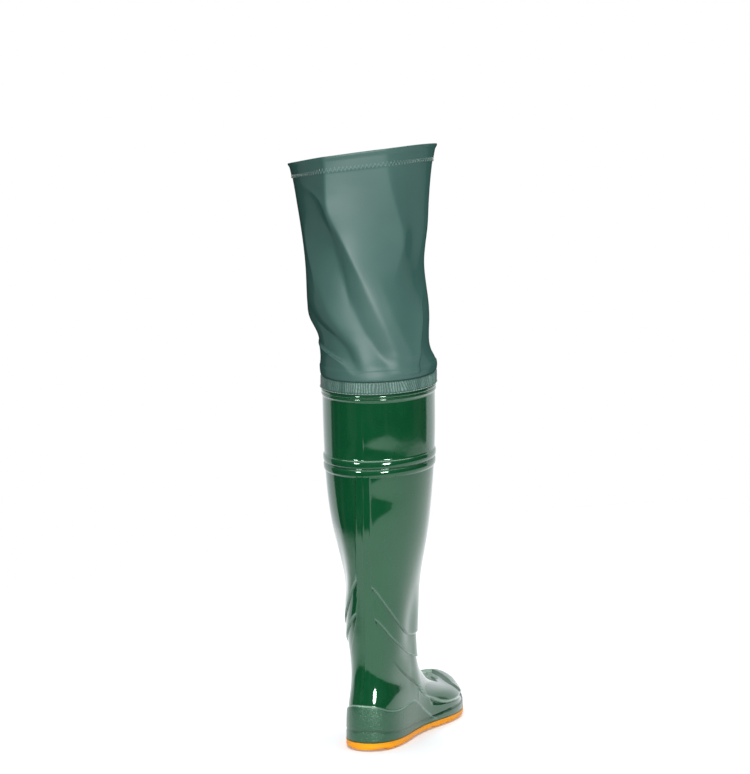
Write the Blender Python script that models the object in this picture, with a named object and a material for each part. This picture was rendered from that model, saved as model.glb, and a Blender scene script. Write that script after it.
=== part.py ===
"""Thigh-length wader boot for the right foot: a moulded PVC boot with a leg of coated fabric sewn to its rim.

The origin lies on the floor under the middle of the heel. +Y runs to the toe, +X to the wearer's right, which
is the outer side of this foot, and +Z runs up. All sizes are metres.
"""

import bmesh
import bpy
import numpy as np

# Driving sizes of the last
FOOT_LENGTH = 0.270
BALL_WIDTH = 0.094
INSTEP_HEIGHT = 0.085
HEEL_HEIGHT = 0.048
HEEL_BACK = 0.034
TOE_SPRING = 0.009
SPRING_START = 0.70

# Driving sizes of the shaft and the leg
CALF_WIDTH = 0.1214
CALF_DEPTH = 0.145
RIM_HEIGHT = 0.3915
RIM_RISE = 0.009
FLANGE_TOP = 0.4105
LEG_TOP = 0.6550
MOUTH_TILT = 0.145
LEG_WIDTH = 0.124
LEG_DEPTH = 0.148

# Walls and clearances
UPPER_WALL = 0.0024
FLANGE_WALL = 0.0016
FABRIC_WALL = 0.0010
HEM_WALL = 0.0018
SEAT_GAP = 0.0003

# Outsole
HEEL_SOLE = 0.009
TOE_SOLE = 0.0068
SOLE_EDGE = 0.0006
SOLE_BEVEL = 0.0022
LUG_DEPTH = 0.0026
LUG_PITCH = 0.0125
LUG_WIDTH = 0.0090
LUG_BOW = 0.009
LUG_DRAFT = 0.0004
ARCH_RISE = 0.0020
HEEL_TREAD_END = 0.30
FORE_TREAD_START = 0.46
TREAD_MARGIN = 0.035

# Insole
INSOLE_THICKNESS = 0.004
INSOLE_GAP = 0.0008

# Gathered band
BAND_FOOT = 0.0020
BAND_THICKNESS = 0.0026
BAND_EDGE_THICKNESS = 0.0018
GATHER_DEPTH = 0.0005

# Relief moulded on the upper
RAND_HEIGHT = 0.012
RAND_RELIEF = 0.0012
COUNTER_RELIEF = 0.0011
COUNTER_FRONT = 0.50
COUNTER_PEAK = 0.40
COUNTER_DIP = 0.006
PANEL_RELIEF = 0.0010
PANEL_START = 0.46
PANEL_FADE = 0.095
EDGE_SOFTNESS = 0.001
STRIP_HALF_WIDTH = 0.0075
STRIP_RELIEF = 0.0009
STRIP_FOOT = 0.150
BEAD_RELIEF = 0.0013
BEAD_HALF_HEIGHT = 0.0022
RIB_RELIEF = 0.0015
RIB_HALF_HEIGHT = 0.0030
RIM_BEADS = (0.3847, 0.3897)
RIB_HEIGHTS = (0.3075, 0.3172)

# Counts of points round each loop, and of loops
UPPER_COLUMNS = 48
LEG_COLUMNS = 48
GATHERS = 36
POINTS_PER_GATHER = 3
SOLE_STATIONS = 30
INSOLE_STATIONS = 22
FOOT_LOOPS = 14
CALF_LOOPS = 9
LEG_LOOPS = 13
LINING_FOOT_LOOPS = 11
LINING_SHAFT_LOOPS = 7
LEG_LINING_LOOPS = 9

# Sections of the foot. Each is a closed loop in a plane through a point on the back of the heel and a point on
# the toe or the ridge of the vamp. Places along the foot are shares of its length, heights at the back are
# shares of the heel's height, heights at the front are shares of the instep's height, and the fullness at five
# places round the loop and the sideways swing at four places are shares of the ball's width.
FOOT_COLUMNS = (
    "back_y", "back_z", "front_y", "front_z",
    "heel_tip", "heel", "waist", "ball", "toe_tip",
    "swing_heel", "swing_waist", "swing_ball", "swing_toe",
)
FOOT_SECTIONS = {
    "feather_edge": (0.000, 0.194, 1.000, 0.084, 0.60, 0.405, 0.340, 0.530, 0.62, 0.0, 0.032, 0.020, -0.070),
    "rand_top": (-0.001, 0.450, 0.999, 0.165, 0.60, 0.405, 0.340, 0.530, 0.62, 0.0, 0.032, 0.020, -0.070),
    "toe_wall": (-0.002, 0.730, 0.977, 0.335, 0.58, 0.405, 0.342, 0.510, 0.60, 0.0, 0.030, 0.020, -0.070),
    "toe_top": (0.004, 1.040, 0.882, 0.480, 0.54, 0.398, 0.340, 0.430, 0.57, 0.0, 0.026, 0.012, -0.060),
    "ball_ridge": (0.018, 1.375, 0.714, 0.590, 0.48, 0.380, 0.334, 0.350, 0.43, 0.0, 0.020, 0.004, -0.032),
    "vamp": (0.033, 1.750, 0.562, 0.715, 0.42, 0.362, 0.340, 0.328, 0.37, 0.0, 0.010, 0.000, -0.015),
    "instep": (0.044, 2.170, 0.470, 0.930, 0.375, 0.360, 0.352, 0.345, 0.345, 0.0, 0.0, 0.0, 0.0),
    "ankle": (0.044, 2.580, 0.432, 1.310, 0.386, 0.386, 0.386, 0.386, 0.386, 0.0, 0.0, 0.0, 0.0),
}
FULLNESS_PLACES = (0.0, 0.2, 0.42, 0.7, 1.0)
SWING_PLACES = (0.0, 0.42, 0.7, 1.0)

# Lower edge of the raised vamp panel: shares of the foot's length and heights above the floor
PANEL_EDGE_PLACES = (0.40, 0.52, 0.66, 0.82, 1.0)
PANEL_EDGE_HEIGHTS = (0.092, 0.068, 0.045, 0.035, 0.034)

# Sections of the shaft. Heights at the back are shares of the rim's height, back and front are shares of the
# calf's depth measured from the heel's back, the width and the shift to the side are shares of the calf's
# width, and the rise is the share of the rim's rise by which the front stands above the back.
SHAFT_COLUMNS = ("height", "back", "front", "width", "shift", "rise")
SHAFT_SECTIONS = {
    "above_ankle": (0.383, 0.066, 0.818, 0.651, 0.000, 0.0),
    "calf_start": (0.447, 0.041, 0.828, 0.692, 0.000, 0.1),
    "low_calf": (0.511, 0.014, 0.838, 0.755, 0.000, 0.3),
    "mid_calf": (0.575, -0.021, 0.850, 0.832, 0.002, 0.5),
    "full_calf": (0.651, -0.055, 0.869, 0.903, -0.001, 0.8),
    "rib_band": (0.774, -0.083, 0.897, 0.968, -0.010, 1.0),
    "upper_band": (0.894, -0.090, 0.910, 0.995, -0.018, 1.0),
    "rim": (1.000, -0.090, 0.914, 1.000, -0.025, 1.0),
    "flange_top": (1.049, -0.090, 0.914, 1.000, -0.025, 1.0),
}

# Sections of the fabric leg. Heights are shares of the way from the flange to the leg's top, shifts are metres
# from the shaft's axis, and the width and depth are shares of the leg's width and depth over the band.
LEG_SECTION_COLUMNS = ("height", "shift_x", "shift_y", "width", "depth")
LEG_SECTIONS = {
    "strip_foot": (0.000, 0.0000, 0.000, 1.000, 1.000),
    "strip_top": (0.046, -0.0010, 0.000, 1.002, 1.003),
    "tuck": (0.082, -0.0035, 0.000, 0.915, 0.940),
    "over_tuck": (0.160, -0.0060, 0.001, 0.945, 0.970),
    "below_knee": (0.290, -0.0125, 0.003, 1.035, 1.030),
    "knee": (0.430, -0.0165, 0.004, 1.035, 1.050),
    "above_knee": (0.640, -0.0180, 0.002, 1.095, 1.100),
    "thigh": (0.850, -0.0190, -0.001, 1.190, 1.160),
    "hem_foot": (0.930, -0.0190, -0.002, 1.235, 1.190),
    "mouth": (1.000, -0.0190, -0.002, 1.290, 1.220),
}
HEM_START = 0.930
STRIP_END = 0.046
TUCK_HEIGHT = 0.082
FOLDS_START = 0.13

# Main folds of the fabric leg. Bearings are degrees round the leg from its back, positive to the outer side,
# heights are shares of the way up the leg, spans and runs are the half widths of the fold in degrees and in
# shares, slants are degrees of bearing per share of height, and a positive depth pushes the cloth outwards.
FOLD_COLUMNS = ("bearing", "height", "span", "run", "slant", "depth")
FOLDS = {
    "inner_tuck": (-98, 0.13, 26, 0.045, -60, -0.0040),
    "inner_roll": (-92, 0.255, 34, 0.070, -60, 0.0060),
    "back_ridge": (-20, 0.55, 13, 0.380, 62, 0.0030),
    "back_trough": (-42, 0.52, 15, 0.300, 62, -0.0040),
    "lower_ridge": (34, 0.28, 12, 0.170, 60, 0.0028),
    "lower_trough": (14, 0.24, 12, 0.150, 60, -0.0030),
    "outer_hollow": (88, 0.44, 24, 0.130, 0, -0.0040),
    "outer_trough": (66, 0.22, 10, 0.140, 20, -0.0030),
    "front_hollow": (172, 0.42, 34, 0.110, 0, -0.0045),
    "front_ridge": (150, 0.24, 16, 0.120, -40, 0.0030),
}

COLOURS = {
    "outsole": (0.870, 0.372, 0.004, 0.45, "orange_pvc"),
    "boot_upper": (0.010, 0.085, 0.034, 0.12, "green_gloss_pvc"),
    "insole": (0.060, 0.075, 0.070, 0.85, "sock_cloth"),
    "gathered_band": (0.062, 0.160, 0.128, 0.55, "gathered_coated_fabric"),
    "thigh_leg": (0.056, 0.150, 0.122, 0.45, "coated_fabric"),
}


def spline(places, values, at):
    """Natural cubic through (places, values), read at the given places. Values may have several columns."""
    x = np.asarray(places, float)
    y = np.asarray(values, float)
    at = np.asarray(at, float)
    step = np.diff(x)
    slope = np.diff(y, axis=0) / step.reshape((-1,) + (1,) * (y.ndim - 1))
    count = len(x)
    matrix = np.eye(count)
    right = np.zeros_like(y)
    for i in range(1, count - 1):
        matrix[i, i - 1:i + 2] = step[i - 1], 2 * (step[i - 1] + step[i]), step[i]
        right[i] = 6 * (slope[i] - slope[i - 1])
    bend = np.linalg.solve(matrix, right)
    k = np.clip(np.searchsorted(x, at, side="right") - 1, 0, count - 2)
    shape = k.shape + (1,) * (y.ndim - 1)
    h = step[k].reshape(shape)
    a = (x[k + 1] - at).reshape(shape) / h
    b = 1 - a
    return a * y[k] + b * y[k + 1] + ((a**3 - a) * bend[k] + (b**3 - b) * bend[k + 1]) * h * h / 6


def soft_step(value, start, end):
    """0 before start, 1 after end, with a smooth rise between them."""
    t = np.clip((value - start) / (end - start), 0, 1)
    return t * t * (3 - 2 * t)


def key_sections():
    """The foot's and the shaft's sections in metres, one row each, with the foot's columns."""
    rows = []
    for row in FOOT_SECTIONS.values():
        s = dict(zip(FOOT_COLUMNS, row))
        along = [s["back_y"] * FOOT_LENGTH, s["back_z"] * HEEL_HEIGHT]
        along += [s["front_y"] * FOOT_LENGTH, s["front_z"] * INSTEP_HEIGHT]
        rows.append(along + [share * BALL_WIDTH for share in row[4:]])
    for row in SHAFT_SECTIONS.values():
        s = dict(zip(SHAFT_COLUMNS, row))
        height = s["height"] * RIM_HEIGHT
        front_height = height + s["rise"] * RIM_RISE
        along = [s["back"] * CALF_DEPTH, height, s["front"] * CALF_DEPTH, front_height]
        rows.append(along + [s["width"] * CALF_WIDTH / 2] * 5 + [s["shift"] * CALF_WIDTH] * 4)
    return np.array(rows)


KEY_SECTIONS = key_sections()


def key_levels():
    """How far up the boot each key section lies: the mean of the way along its back and along its front."""
    back = np.hypot(*np.diff(KEY_SECTIONS[:, 0:2], axis=0).T)
    front = np.hypot(*np.diff(KEY_SECTIONS[:, 2:4], axis=0).T)
    return np.concatenate([[0.0], np.cumsum((back + front) / 2)])


KEY_LEVELS = key_levels()
RAND_LEVEL = KEY_LEVELS[1]
ANKLE_LEVEL = KEY_LEVELS[len(FOOT_SECTIONS)]


def back_height(level):
    """Height of a loop's back above the floor."""
    return spline(KEY_LEVELS, KEY_SECTIONS[:, 1], level)


def shaft_level(height):
    """The level of the shaft's loop whose back is at a height above the floor."""
    levels = np.linspace(ANKLE_LEVEL, KEY_LEVELS[-1], 400)
    return np.interp(height, back_height(levels), levels)


def rim_tilt(y):
    """How far the rim and all that is sewn to it rise at y metres from the heel's back."""
    rim = KEY_SECTIONS[-1]
    return RIM_RISE * (y - rim[0]) / (rim[2] - rim[0])


def sole_top(y):
    """Height of the outsole's top face at y metres from the heel's back, thinner to the toe."""
    return HEEL_SOLE + (TOE_SOLE - HEEL_SOLE) * y / FOOT_LENGTH + toe_spring(y)


def toe_spring(y):
    """How far the sole and all above it rise at y metres from the heel's back."""
    start = SPRING_START * FOOT_LENGTH
    return TOE_SPRING * (np.maximum(y - start, 0) / (FOOT_LENGTH - start)) ** 2


def last_surface(level, turn):
    """Points of the last on a grid of levels and turns. A turn of 0 is the back and pi is the front. Along a
    section the share is (1 - cos turn) / 2, and the offset to the side is swing + fullness * sin turn."""
    rows = spline(KEY_LEVELS, KEY_SECTIONS, level)[:, None, :]
    share = (1 - np.cos(turn)) / 2
    fullness_weights = spline(FULLNESS_PLACES, np.eye(len(FULLNESS_PLACES)), share)
    swing_weights = spline(SWING_PLACES, np.eye(len(SWING_PLACES)), share)
    fullness = (rows[..., 4:9] * fullness_weights).sum(-1)
    swing = (rows[..., 9:13] * swing_weights).sum(-1)
    y = rows[..., 0] + share * (rows[..., 2] - rows[..., 0])
    z = rows[..., 1] + share * (rows[..., 3] - rows[..., 1])
    x = swing + fullness * np.sin(turn)
    return np.stack([x, y, z + toe_spring(y)], -1)


def outward(points):
    """Unit normals of a grid of loops that run round the boot, pointing away from its inside."""
    along = np.gradient(points, axis=0)
    round_loop = np.roll(points, -1, axis=1) - np.roll(points, 1, axis=1)
    normal = np.cross(round_loop, along)
    return normal / np.linalg.norm(normal, axis=-1, keepdims=True)


def counter_top(y):
    """Height of the heel counter's top edge: it dips behind the ankle, peaks at the side and then runs down."""
    share = y / FOOT_LENGTH
    dip = COUNTER_DIP * np.sin(np.pi * np.clip(share / COUNTER_PEAK, 0, 1)) ** 2
    fall = np.clip((share - COUNTER_PEAK) / (COUNTER_FRONT - COUNTER_PEAK), 0, 1)
    return HEEL_HEIGHT - dip - fall * (HEEL_HEIGHT - HEEL_SOLE - RAND_HEIGHT)


def panel_edge(y):
    """Height of the raised vamp panel's lower edge, from the ankle down to the toe."""
    share = np.clip(y / FOOT_LENGTH, PANEL_EDGE_PLACES[0], PANEL_EDGE_PLACES[-1])
    return spline(PANEL_EDGE_PLACES, PANEL_EDGE_HEIGHTS, share)


def relief(points, level, turn):
    """How far the moulded detail stands out of the last at each point."""
    y = points[..., 1]
    z = points[..., 2] - toe_spring(y)
    share = y / FOOT_LENGTH
    rand = 1 - soft_step(level, RAND_LEVEL - EDGE_SOFTNESS / 2, RAND_LEVEL + EDGE_SOFTNESS / 2)[:, None]
    behind = 1 - soft_step(share, COUNTER_FRONT, COUNTER_FRONT + 0.02)
    counter = behind * (1 - soft_step(z - counter_top(y), -EDGE_SOFTNESS, EDGE_SOFTNESS))
    before = soft_step(share, PANEL_START, PANEL_START + 0.06)
    panel = before * soft_step(z - panel_edge(y), -2 * EDGE_SOFTNESS, 2 * EDGE_SOFTNESS)
    panel = panel * (1 - soft_step(z, PANEL_FADE, PANEL_FADE + 0.03))
    raised = np.maximum(rand * RAND_RELIEF, np.maximum(counter * COUNTER_RELIEF, panel * PANEL_RELIEF))
    back = back_height(level)[:, None]
    near_strip = (np.abs(points[..., 0]) < STRIP_HALF_WIDTH) & (np.cos(turn) > 0)
    strip_run = soft_step(back, STRIP_FOOT, STRIP_FOOT + 0.03) * (back < min(RIB_HEIGHTS))
    raised = raised + STRIP_RELIEF * near_strip * strip_run
    for height in RIM_BEADS:
        raised = raised + BEAD_RELIEF * np.clip(1 - ((back - height) / BEAD_HALF_HEIGHT) ** 2, 0, 1)
    for height in RIB_HEIGHTS:
        raised = raised + RIB_RELIEF * np.clip(1 - ((back - height) / RIB_HALF_HEIGHT) ** 2, 0, 1)
    return raised


def ring_heights(centres, half_height):
    """Heights of the loops that give each bead or rib its foot, crown and foot."""
    return [c + side * half_height for c in centres for side in (-1.0, 0.0, 1.0)]


def material(name):
    """A plain finish in the colour and gloss of the piece."""
    red, green, blue, roughness, finish = COLOURS[name]
    made = bpy.data.materials.new(finish)
    made.use_nodes = True
    shader = made.node_tree.nodes["Principled BSDF"]
    shader.inputs["Base Color"].default_value = (red, green, blue, 1.0)
    shader.inputs["Roughness"].default_value = roughness
    shader.inputs["Metallic"].default_value = 0.0
    return made


def finish_object(name, mesh, frame, collection):
    """Welds the mesh, turns its faces outwards, and hangs the object on the boot's frame."""
    work = bmesh.new()
    work.from_mesh(mesh)
    bmesh.ops.remove_doubles(work, verts=work.verts, dist=1e-6)
    bmesh.ops.recalc_face_normals(work, faces=work.faces)
    work.to_mesh(mesh)
    work.free()
    mesh.shade_smooth()
    mesh.set_sharp_from_angle(angle=np.radians(40))
    made = bpy.data.objects.new(name, mesh)
    made.data.materials.append(material(name))
    made.parent = frame
    collection.objects.link(made)
    return made


def loft(name, loops, closed_along):
    """A mesh of quads between loops of equal counts. closed_along joins the last loop to the first."""
    loops = np.asarray(loops)
    rows, columns = loops.shape[:2]
    index = np.arange(rows * columns).reshape(rows, columns)
    if closed_along:
        index = np.vstack([index, index[:1]])
    turned = np.roll(index, -1, axis=1)
    quads = np.stack([index[:-1], turned[:-1], turned[1:], index[1:]], -1).reshape(-1, 4)
    mesh = bpy.data.meshes.new(name)
    mesh.from_pydata((loops.reshape(-1, 3) - (0.0, HEEL_BACK, 0.0)).tolist(), [], quads.tolist())
    return mesh


def turns(count):
    """Equal turns round a loop, from the back."""
    return np.arange(count) * 2 * np.pi / count


def make_upper(frame, collection):
    """The moulded upper: one hollow wall from the feather edge to the sewing flange, open at both ends."""
    turn = turns(UPPER_COLUMNS)
    calf_foot = back_height(np.array([ANKLE_LEVEL]))[0] + 0.010
    foot = np.concatenate([
        [0.0, RAND_LEVEL - EDGE_SOFTNESS, RAND_LEVEL + EDGE_SOFTNESS],
        np.linspace(RAND_LEVEL + 0.009, ANKLE_LEVEL, FOOT_LOOPS),
    ])
    heights = np.concatenate([
        np.linspace(calf_foot, min(RIB_HEIGHTS) - 0.015, CALF_LOOPS),
        ring_heights(RIB_HEIGHTS, RIB_HALF_HEIGHT),
        np.linspace(max(RIB_HEIGHTS), min(RIM_BEADS), 4)[1:-1],
        ring_heights(RIM_BEADS, BEAD_HALF_HEIGHT),
        [RIM_HEIGHT + EDGE_SOFTNESS, FLANGE_TOP],
    ])
    outer_levels = np.concatenate([foot, shaft_level(np.sort(heights))])
    base = last_surface(outer_levels, turn)
    normal = outward(base)
    flange = soft_step(back_height(outer_levels), RIM_HEIGHT + 0.0005, RIM_HEIGHT + 0.0009)
    sunk = flange[:, None] * (UPPER_WALL - FLANGE_WALL)
    outer = base + normal * (relief(base, outer_levels, turn) - sunk)[..., None]
    inner_levels = np.concatenate([
        np.linspace(0.0, ANKLE_LEVEL, LINING_FOOT_LOOPS),
        shaft_level(np.linspace(calf_foot, FLANGE_TOP, LINING_SHAFT_LOOPS + 1)[1:]),
    ])
    inner_base = last_surface(inner_levels, turn)
    inner = inner_base - outward(inner_base) * UPPER_WALL
    for wall in (outer, inner):
        wall[0, :, 2] = sole_top(wall[0, :, 1]) + SEAT_GAP
        wall[-1, :, 2] = FLANGE_TOP + rim_tilt(wall[-1, :, 1])
    loops = np.concatenate([outer, inner[::-1]])
    return finish_object("boot_upper", loft("boot_upper", loops, True), frame, collection)


def sole_outline(share, margin):
    """Centre and half width of the feather edge, grown by a margin, at shares of the grown length."""
    turn = np.arccos(np.clip(1 - 2 * share, -1, 1))
    right = last_surface(np.zeros(1), turn)[0]
    left = last_surface(np.zeros(1), -turn)[0]
    centre = (right[:, 0] + left[:, 0]) / 2
    half = (right[:, 0] - left[:, 0]) / 2
    y = -margin + share * (FOOT_LENGTH + 2 * margin)
    return y, centre, half + margin * np.sin(turn) ** 0.5


def tread_stations():
    """Shares along the sole of each lug's edges, with 1 on the lug and 0 in the groove beside it."""
    length = FOOT_LENGTH
    rows = []
    for start, end in ((TREAD_MARGIN, HEEL_TREAD_END), (FORE_TREAD_START, 1 - TREAD_MARGIN)):
        count = int((end - start) * length // LUG_PITCH)
        first = ((start + end) * length - (count - 1) * LUG_PITCH) / 2
        for i in range(count):
            middle = first + i * LUG_PITCH
            for side in (-1, 1):
                edge = middle + side * LUG_WIDTH / 2
                rows.append(((edge + side * LUG_DRAFT) / length, 0.0))
                rows.append(((edge - side * LUG_DRAFT) / length, 1.0))
    return sorted(rows)


def make_outsole(frame, collection):
    """The outsole: sections across the foot from heel to toe, with bowed lugs under the heel and the ball."""
    margin = RAND_RELIEF + SOLE_EDGE
    treads = tread_stations()
    tread_shares = np.array([share for share, lug in treads])
    lugs = np.array([lug for share, lug in treads])
    plain = (1 - np.cos(np.linspace(0, np.pi, SOLE_STATIONS))) / 2
    clear = np.abs(plain[:, None] - tread_shares).min(1) * FOOT_LENGTH > 1.5 * LUG_DRAFT
    share = np.concatenate([plain[clear], tread_shares])
    nearest = np.searchsorted(tread_shares, plain[clear])
    before = np.concatenate([[0.0], lugs])[nearest]
    after = np.concatenate([lugs, [0.0]])[nearest]
    on_lug = np.concatenate([before * after, lugs])
    order = np.argsort(share)
    share, on_lug = share[order], on_lug[order]
    y, centre, half = sole_outline(share, margin)
    in_arch = soft_step(share, HEEL_TREAD_END, HEEL_TREAD_END + 0.03)
    in_arch = in_arch * (1 - soft_step(share, FORE_TREAD_START - 0.03, FORE_TREAD_START))
    top = sole_top(y)
    floor = toe_spring(y) + (1 - on_lug) * LUG_DEPTH + in_arch * (ARCH_RISE - LUG_DEPTH)
    bevel = np.minimum(SOLE_BEVEL, half * 0.5)
    bow = LUG_BOW * np.sin(np.pi * share)
    # Each row runs round a section: place across, share of the bevel, share of the way down, share of the bow
    profile = (
        (1.0, 0.0, 0.0, 0.0),
        (1.0, 0.0, 0.6, 0.0),
        (1.0, 1.0, 1.0, 0.0),
        (0.55, 0.0, 1.0, 0.70),
        (0.0, 0.0, 1.0, 1.0),
        (-0.55, 0.0, 1.0, 0.70),
        (-1.0, -1.0, 1.0, 0.0),
        (-1.0, 0.0, 0.6, 0.0),
        (-1.0, 0.0, 0.0, 0.0),
    )
    loops = []
    for across, inset, down, bowed in profile:
        x = centre + across * half - inset * bevel
        z = top + (floor - top) * down
        loops.append(np.stack([x, y + bow * bowed, z], -1))
    mesh = loft("outsole", np.stack(loops, 1), False)
    return finish_object("outsole", mesh, frame, collection)


def make_insole(frame, collection):
    """The sock that lies on the outsole inside the upper."""
    share = (1 - np.cos(np.linspace(0, np.pi, INSOLE_STATIONS))) / 2
    y, centre, half = sole_outline(share, -UPPER_WALL - INSOLE_GAP)
    bottom = sole_top(y) + SEAT_GAP
    loops = []
    for across, up in ((1, 1), (1, 0), (-1, 0), (-1, 1)):
        loops.append(np.stack([centre + across * half, y, bottom + up * INSOLE_THICKNESS], -1))
    mesh = loft("insole", np.stack(loops, 1), False)
    return finish_object("insole", mesh, frame, collection)


def band_surface(height, turn, grow):
    """Loops that follow the shaft's own section at heights above the rim, grown outwards."""
    base = last_surface(shaft_level(np.asarray(height)), turn)
    made = base + outward_level(base) * np.asarray(grow)[..., None]
    made[..., 2] = np.asarray(height)[:, None] + rim_tilt(made[..., 1])
    return made


def outward_level(points):
    """Level unit normals of level loops."""
    round_loop = np.roll(points, -1, axis=1) - np.roll(points, 1, axis=1)
    normal = np.stack([round_loop[..., 1], -round_loop[..., 0], np.zeros(points.shape[:2])], -1)
    return normal / np.linalg.norm(normal, axis=-1, keepdims=True)


def make_band(frame, collection):
    """The gathered lower edge of the fabric, sewn round the flange above the rim beads."""
    turn = turns(GATHERS * POINTS_PER_GATHER)
    low, high = RIM_HEIGHT + BAND_FOOT, FLANGE_TOP
    inside = FLANGE_WALL - UPPER_WALL + SEAT_GAP
    edge = np.full(len(turn), inside + BAND_EDGE_THICKNESS)
    gathered = inside + BAND_THICKNESS + GATHER_DEPTH * np.cos(turn * GATHERS)
    heights = np.array([low, low + BAND_EDGE_THICKNESS, high - BAND_EDGE_THICKNESS, high])
    outer = band_surface(heights, turn, np.array([edge, gathered, gathered, edge]))
    inner = band_surface(np.array([low, high]), turn, np.full((2, 1), inside))
    loops = np.concatenate([outer, inner[::-1]])
    return finish_object("gathered_band", loft("gathered_band", loops, True), frame, collection)


def fold_depth(share, turn):
    """Sum of the leg's soft folds at shares of its height and turns from its back, held flat at both ends."""
    bearing = np.degrees(np.arctan2(np.sin(turn), np.cos(turn)))[None, :]
    depth = np.zeros((len(share), len(turn)))
    for row in FOLDS.values():
        f = dict(zip(FOLD_COLUMNS, row))
        up = share[:, None] - f["height"]
        away = (bearing - f["bearing"] - f["slant"] * up + 180) % 360 - 180
        depth += f["depth"] * np.exp(-(away / f["span"]) ** 2 - (up / f["run"]) ** 2)
    held = soft_step(share, STRIP_END, STRIP_END + 0.06) * (1 - soft_step(share, HEM_START - 0.10, HEM_START))
    return depth * held[:, None]


def leg_surface(share, turn):
    """Loops of the fabric leg at shares of its height, tilted towards its mouth so the outer side is higher."""
    rows = np.array(list(LEG_SECTIONS.values()))
    table = dict(zip(LEG_SECTION_COLUMNS, spline(rows[:, 0], rows, share).T[:, :, None]))
    rim = KEY_SECTIONS[-1]
    axis_y = (rim[0] + rim[2]) / 2
    x = np.sin(turn) * table["width"] * LEG_WIDTH / 2
    y = -np.cos(turn) * table["depth"] * LEG_DEPTH / 2
    base = FLANGE_TOP + SEAT_GAP
    z = base + share[:, None] * (LEG_TOP - base) + MOUTH_TILT * share[:, None] ** 2 * x
    z = z + (1 - share[:, None]) * rim_tilt(y + axis_y)
    x = x + table["shift_x"] + rim[FOOT_COLUMNS.index("swing_heel")]
    points = np.stack([x, y + table["shift_y"] + axis_y, z], -1)
    return points + outward_level(points) * fold_depth(share, turn)[..., None]


def make_leg(frame, collection):
    """The leg of coated fabric: a fold strip over the band, the creased tube and the turned hem."""
    turn = turns(LEG_COLUMNS)
    hem_edge = HEM_START - 0.006
    outer_share = np.concatenate([
        [0.0, STRIP_END * 0.6, STRIP_END, TUCK_HEIGHT],
        np.linspace(FOLDS_START, hem_edge, LEG_LOOPS),
        [HEM_START, (HEM_START + 1) / 2, 1.0],
    ])
    inner_share = np.concatenate([
        [0.0, STRIP_END, TUCK_HEIGHT],
        np.linspace(FOLDS_START, HEM_START, LEG_LINING_LOOPS),
        [1.0],
    ])
    outer = leg_surface(outer_share, turn)
    thick = (outer_share <= STRIP_END) | (outer_share >= HEM_START)
    outer += outward_level(outer) * (thick * (HEM_WALL - FABRIC_WALL))[:, None, None]
    inner = leg_surface(inner_share, turn)
    inner -= outward_level(inner) * FABRIC_WALL
    loops = np.concatenate([outer, inner[::-1]])
    return finish_object("thigh_leg", loft("thigh_leg", loops, True), frame, collection)


def main():
    for old in list(bpy.data.objects):
        bpy.data.objects.remove(old)
    collection = bpy.data.collections.new("thigh_wader_boot")
    bpy.context.scene.collection.children.link(collection)
    frame = bpy.data.objects.new("boot_frame", None)
    collection.objects.link(frame)
    make_outsole(frame, collection)
    make_upper(frame, collection)
    make_insole(frame, collection)
    make_band(frame, collection)
    make_leg(frame, collection)


main()
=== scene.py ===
"""Looks of a thigh-length wader boot for the right foot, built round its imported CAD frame.

Sizes are metres unless a comment says otherwise. +Y runs to the toe, +X to the outer side and +Z up. Surfaces
count y from the heel's back and are then moved to the frame, whose origin lies under the middle of the heel.
The sections follow the way the boot is made and put together.
"""

import bmesh
import bpy
import numpy as np
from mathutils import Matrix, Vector


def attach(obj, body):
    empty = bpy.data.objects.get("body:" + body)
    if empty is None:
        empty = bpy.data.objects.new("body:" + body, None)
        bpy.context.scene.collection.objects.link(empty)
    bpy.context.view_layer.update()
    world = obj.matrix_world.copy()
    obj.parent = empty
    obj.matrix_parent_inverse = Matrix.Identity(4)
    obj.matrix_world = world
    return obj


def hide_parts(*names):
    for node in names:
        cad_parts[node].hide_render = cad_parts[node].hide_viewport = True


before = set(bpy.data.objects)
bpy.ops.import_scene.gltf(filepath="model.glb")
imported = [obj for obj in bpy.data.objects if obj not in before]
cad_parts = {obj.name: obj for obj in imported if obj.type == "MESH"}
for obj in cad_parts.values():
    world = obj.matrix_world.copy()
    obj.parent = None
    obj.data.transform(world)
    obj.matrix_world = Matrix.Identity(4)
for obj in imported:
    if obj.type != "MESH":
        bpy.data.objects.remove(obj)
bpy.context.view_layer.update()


# The moulded upper is the green boot itself: soft PVC injected round a steel last in one piece, from the
# feather edge at the sole to the flange above the rim. Heel counter, ankle plates, vamp panel, toe cap, back
# strip, ribs and beads are cut into the mould, whose halves leave a fine parting line down the back.

FOOT_LENGTH = 0.270
BALL_WIDTH = 0.094
INSTEP_HEIGHT = 0.085
HEEL_HEIGHT = 0.048
HEEL_BACK = 0.034
HEEL_SHIFT = (0.0, HEEL_BACK, 0.0)
TOE_SPRING = 0.009
SPRING_START = 0.70
CALF_WIDTH = 0.1214
CALF_DEPTH = 0.145
RIM_HEIGHT = 0.3915
RIM_RISE = 0.009
FLANGE_FOOT = 0.3957
FLANGE_TOP = 0.4105
UPPER_WALL = 0.0024
FLANGE_WALL = 0.0016
SEAT_GAP = 0.0003
HEEL_SOLE = 0.009
TOE_SOLE = 0.0068

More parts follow.
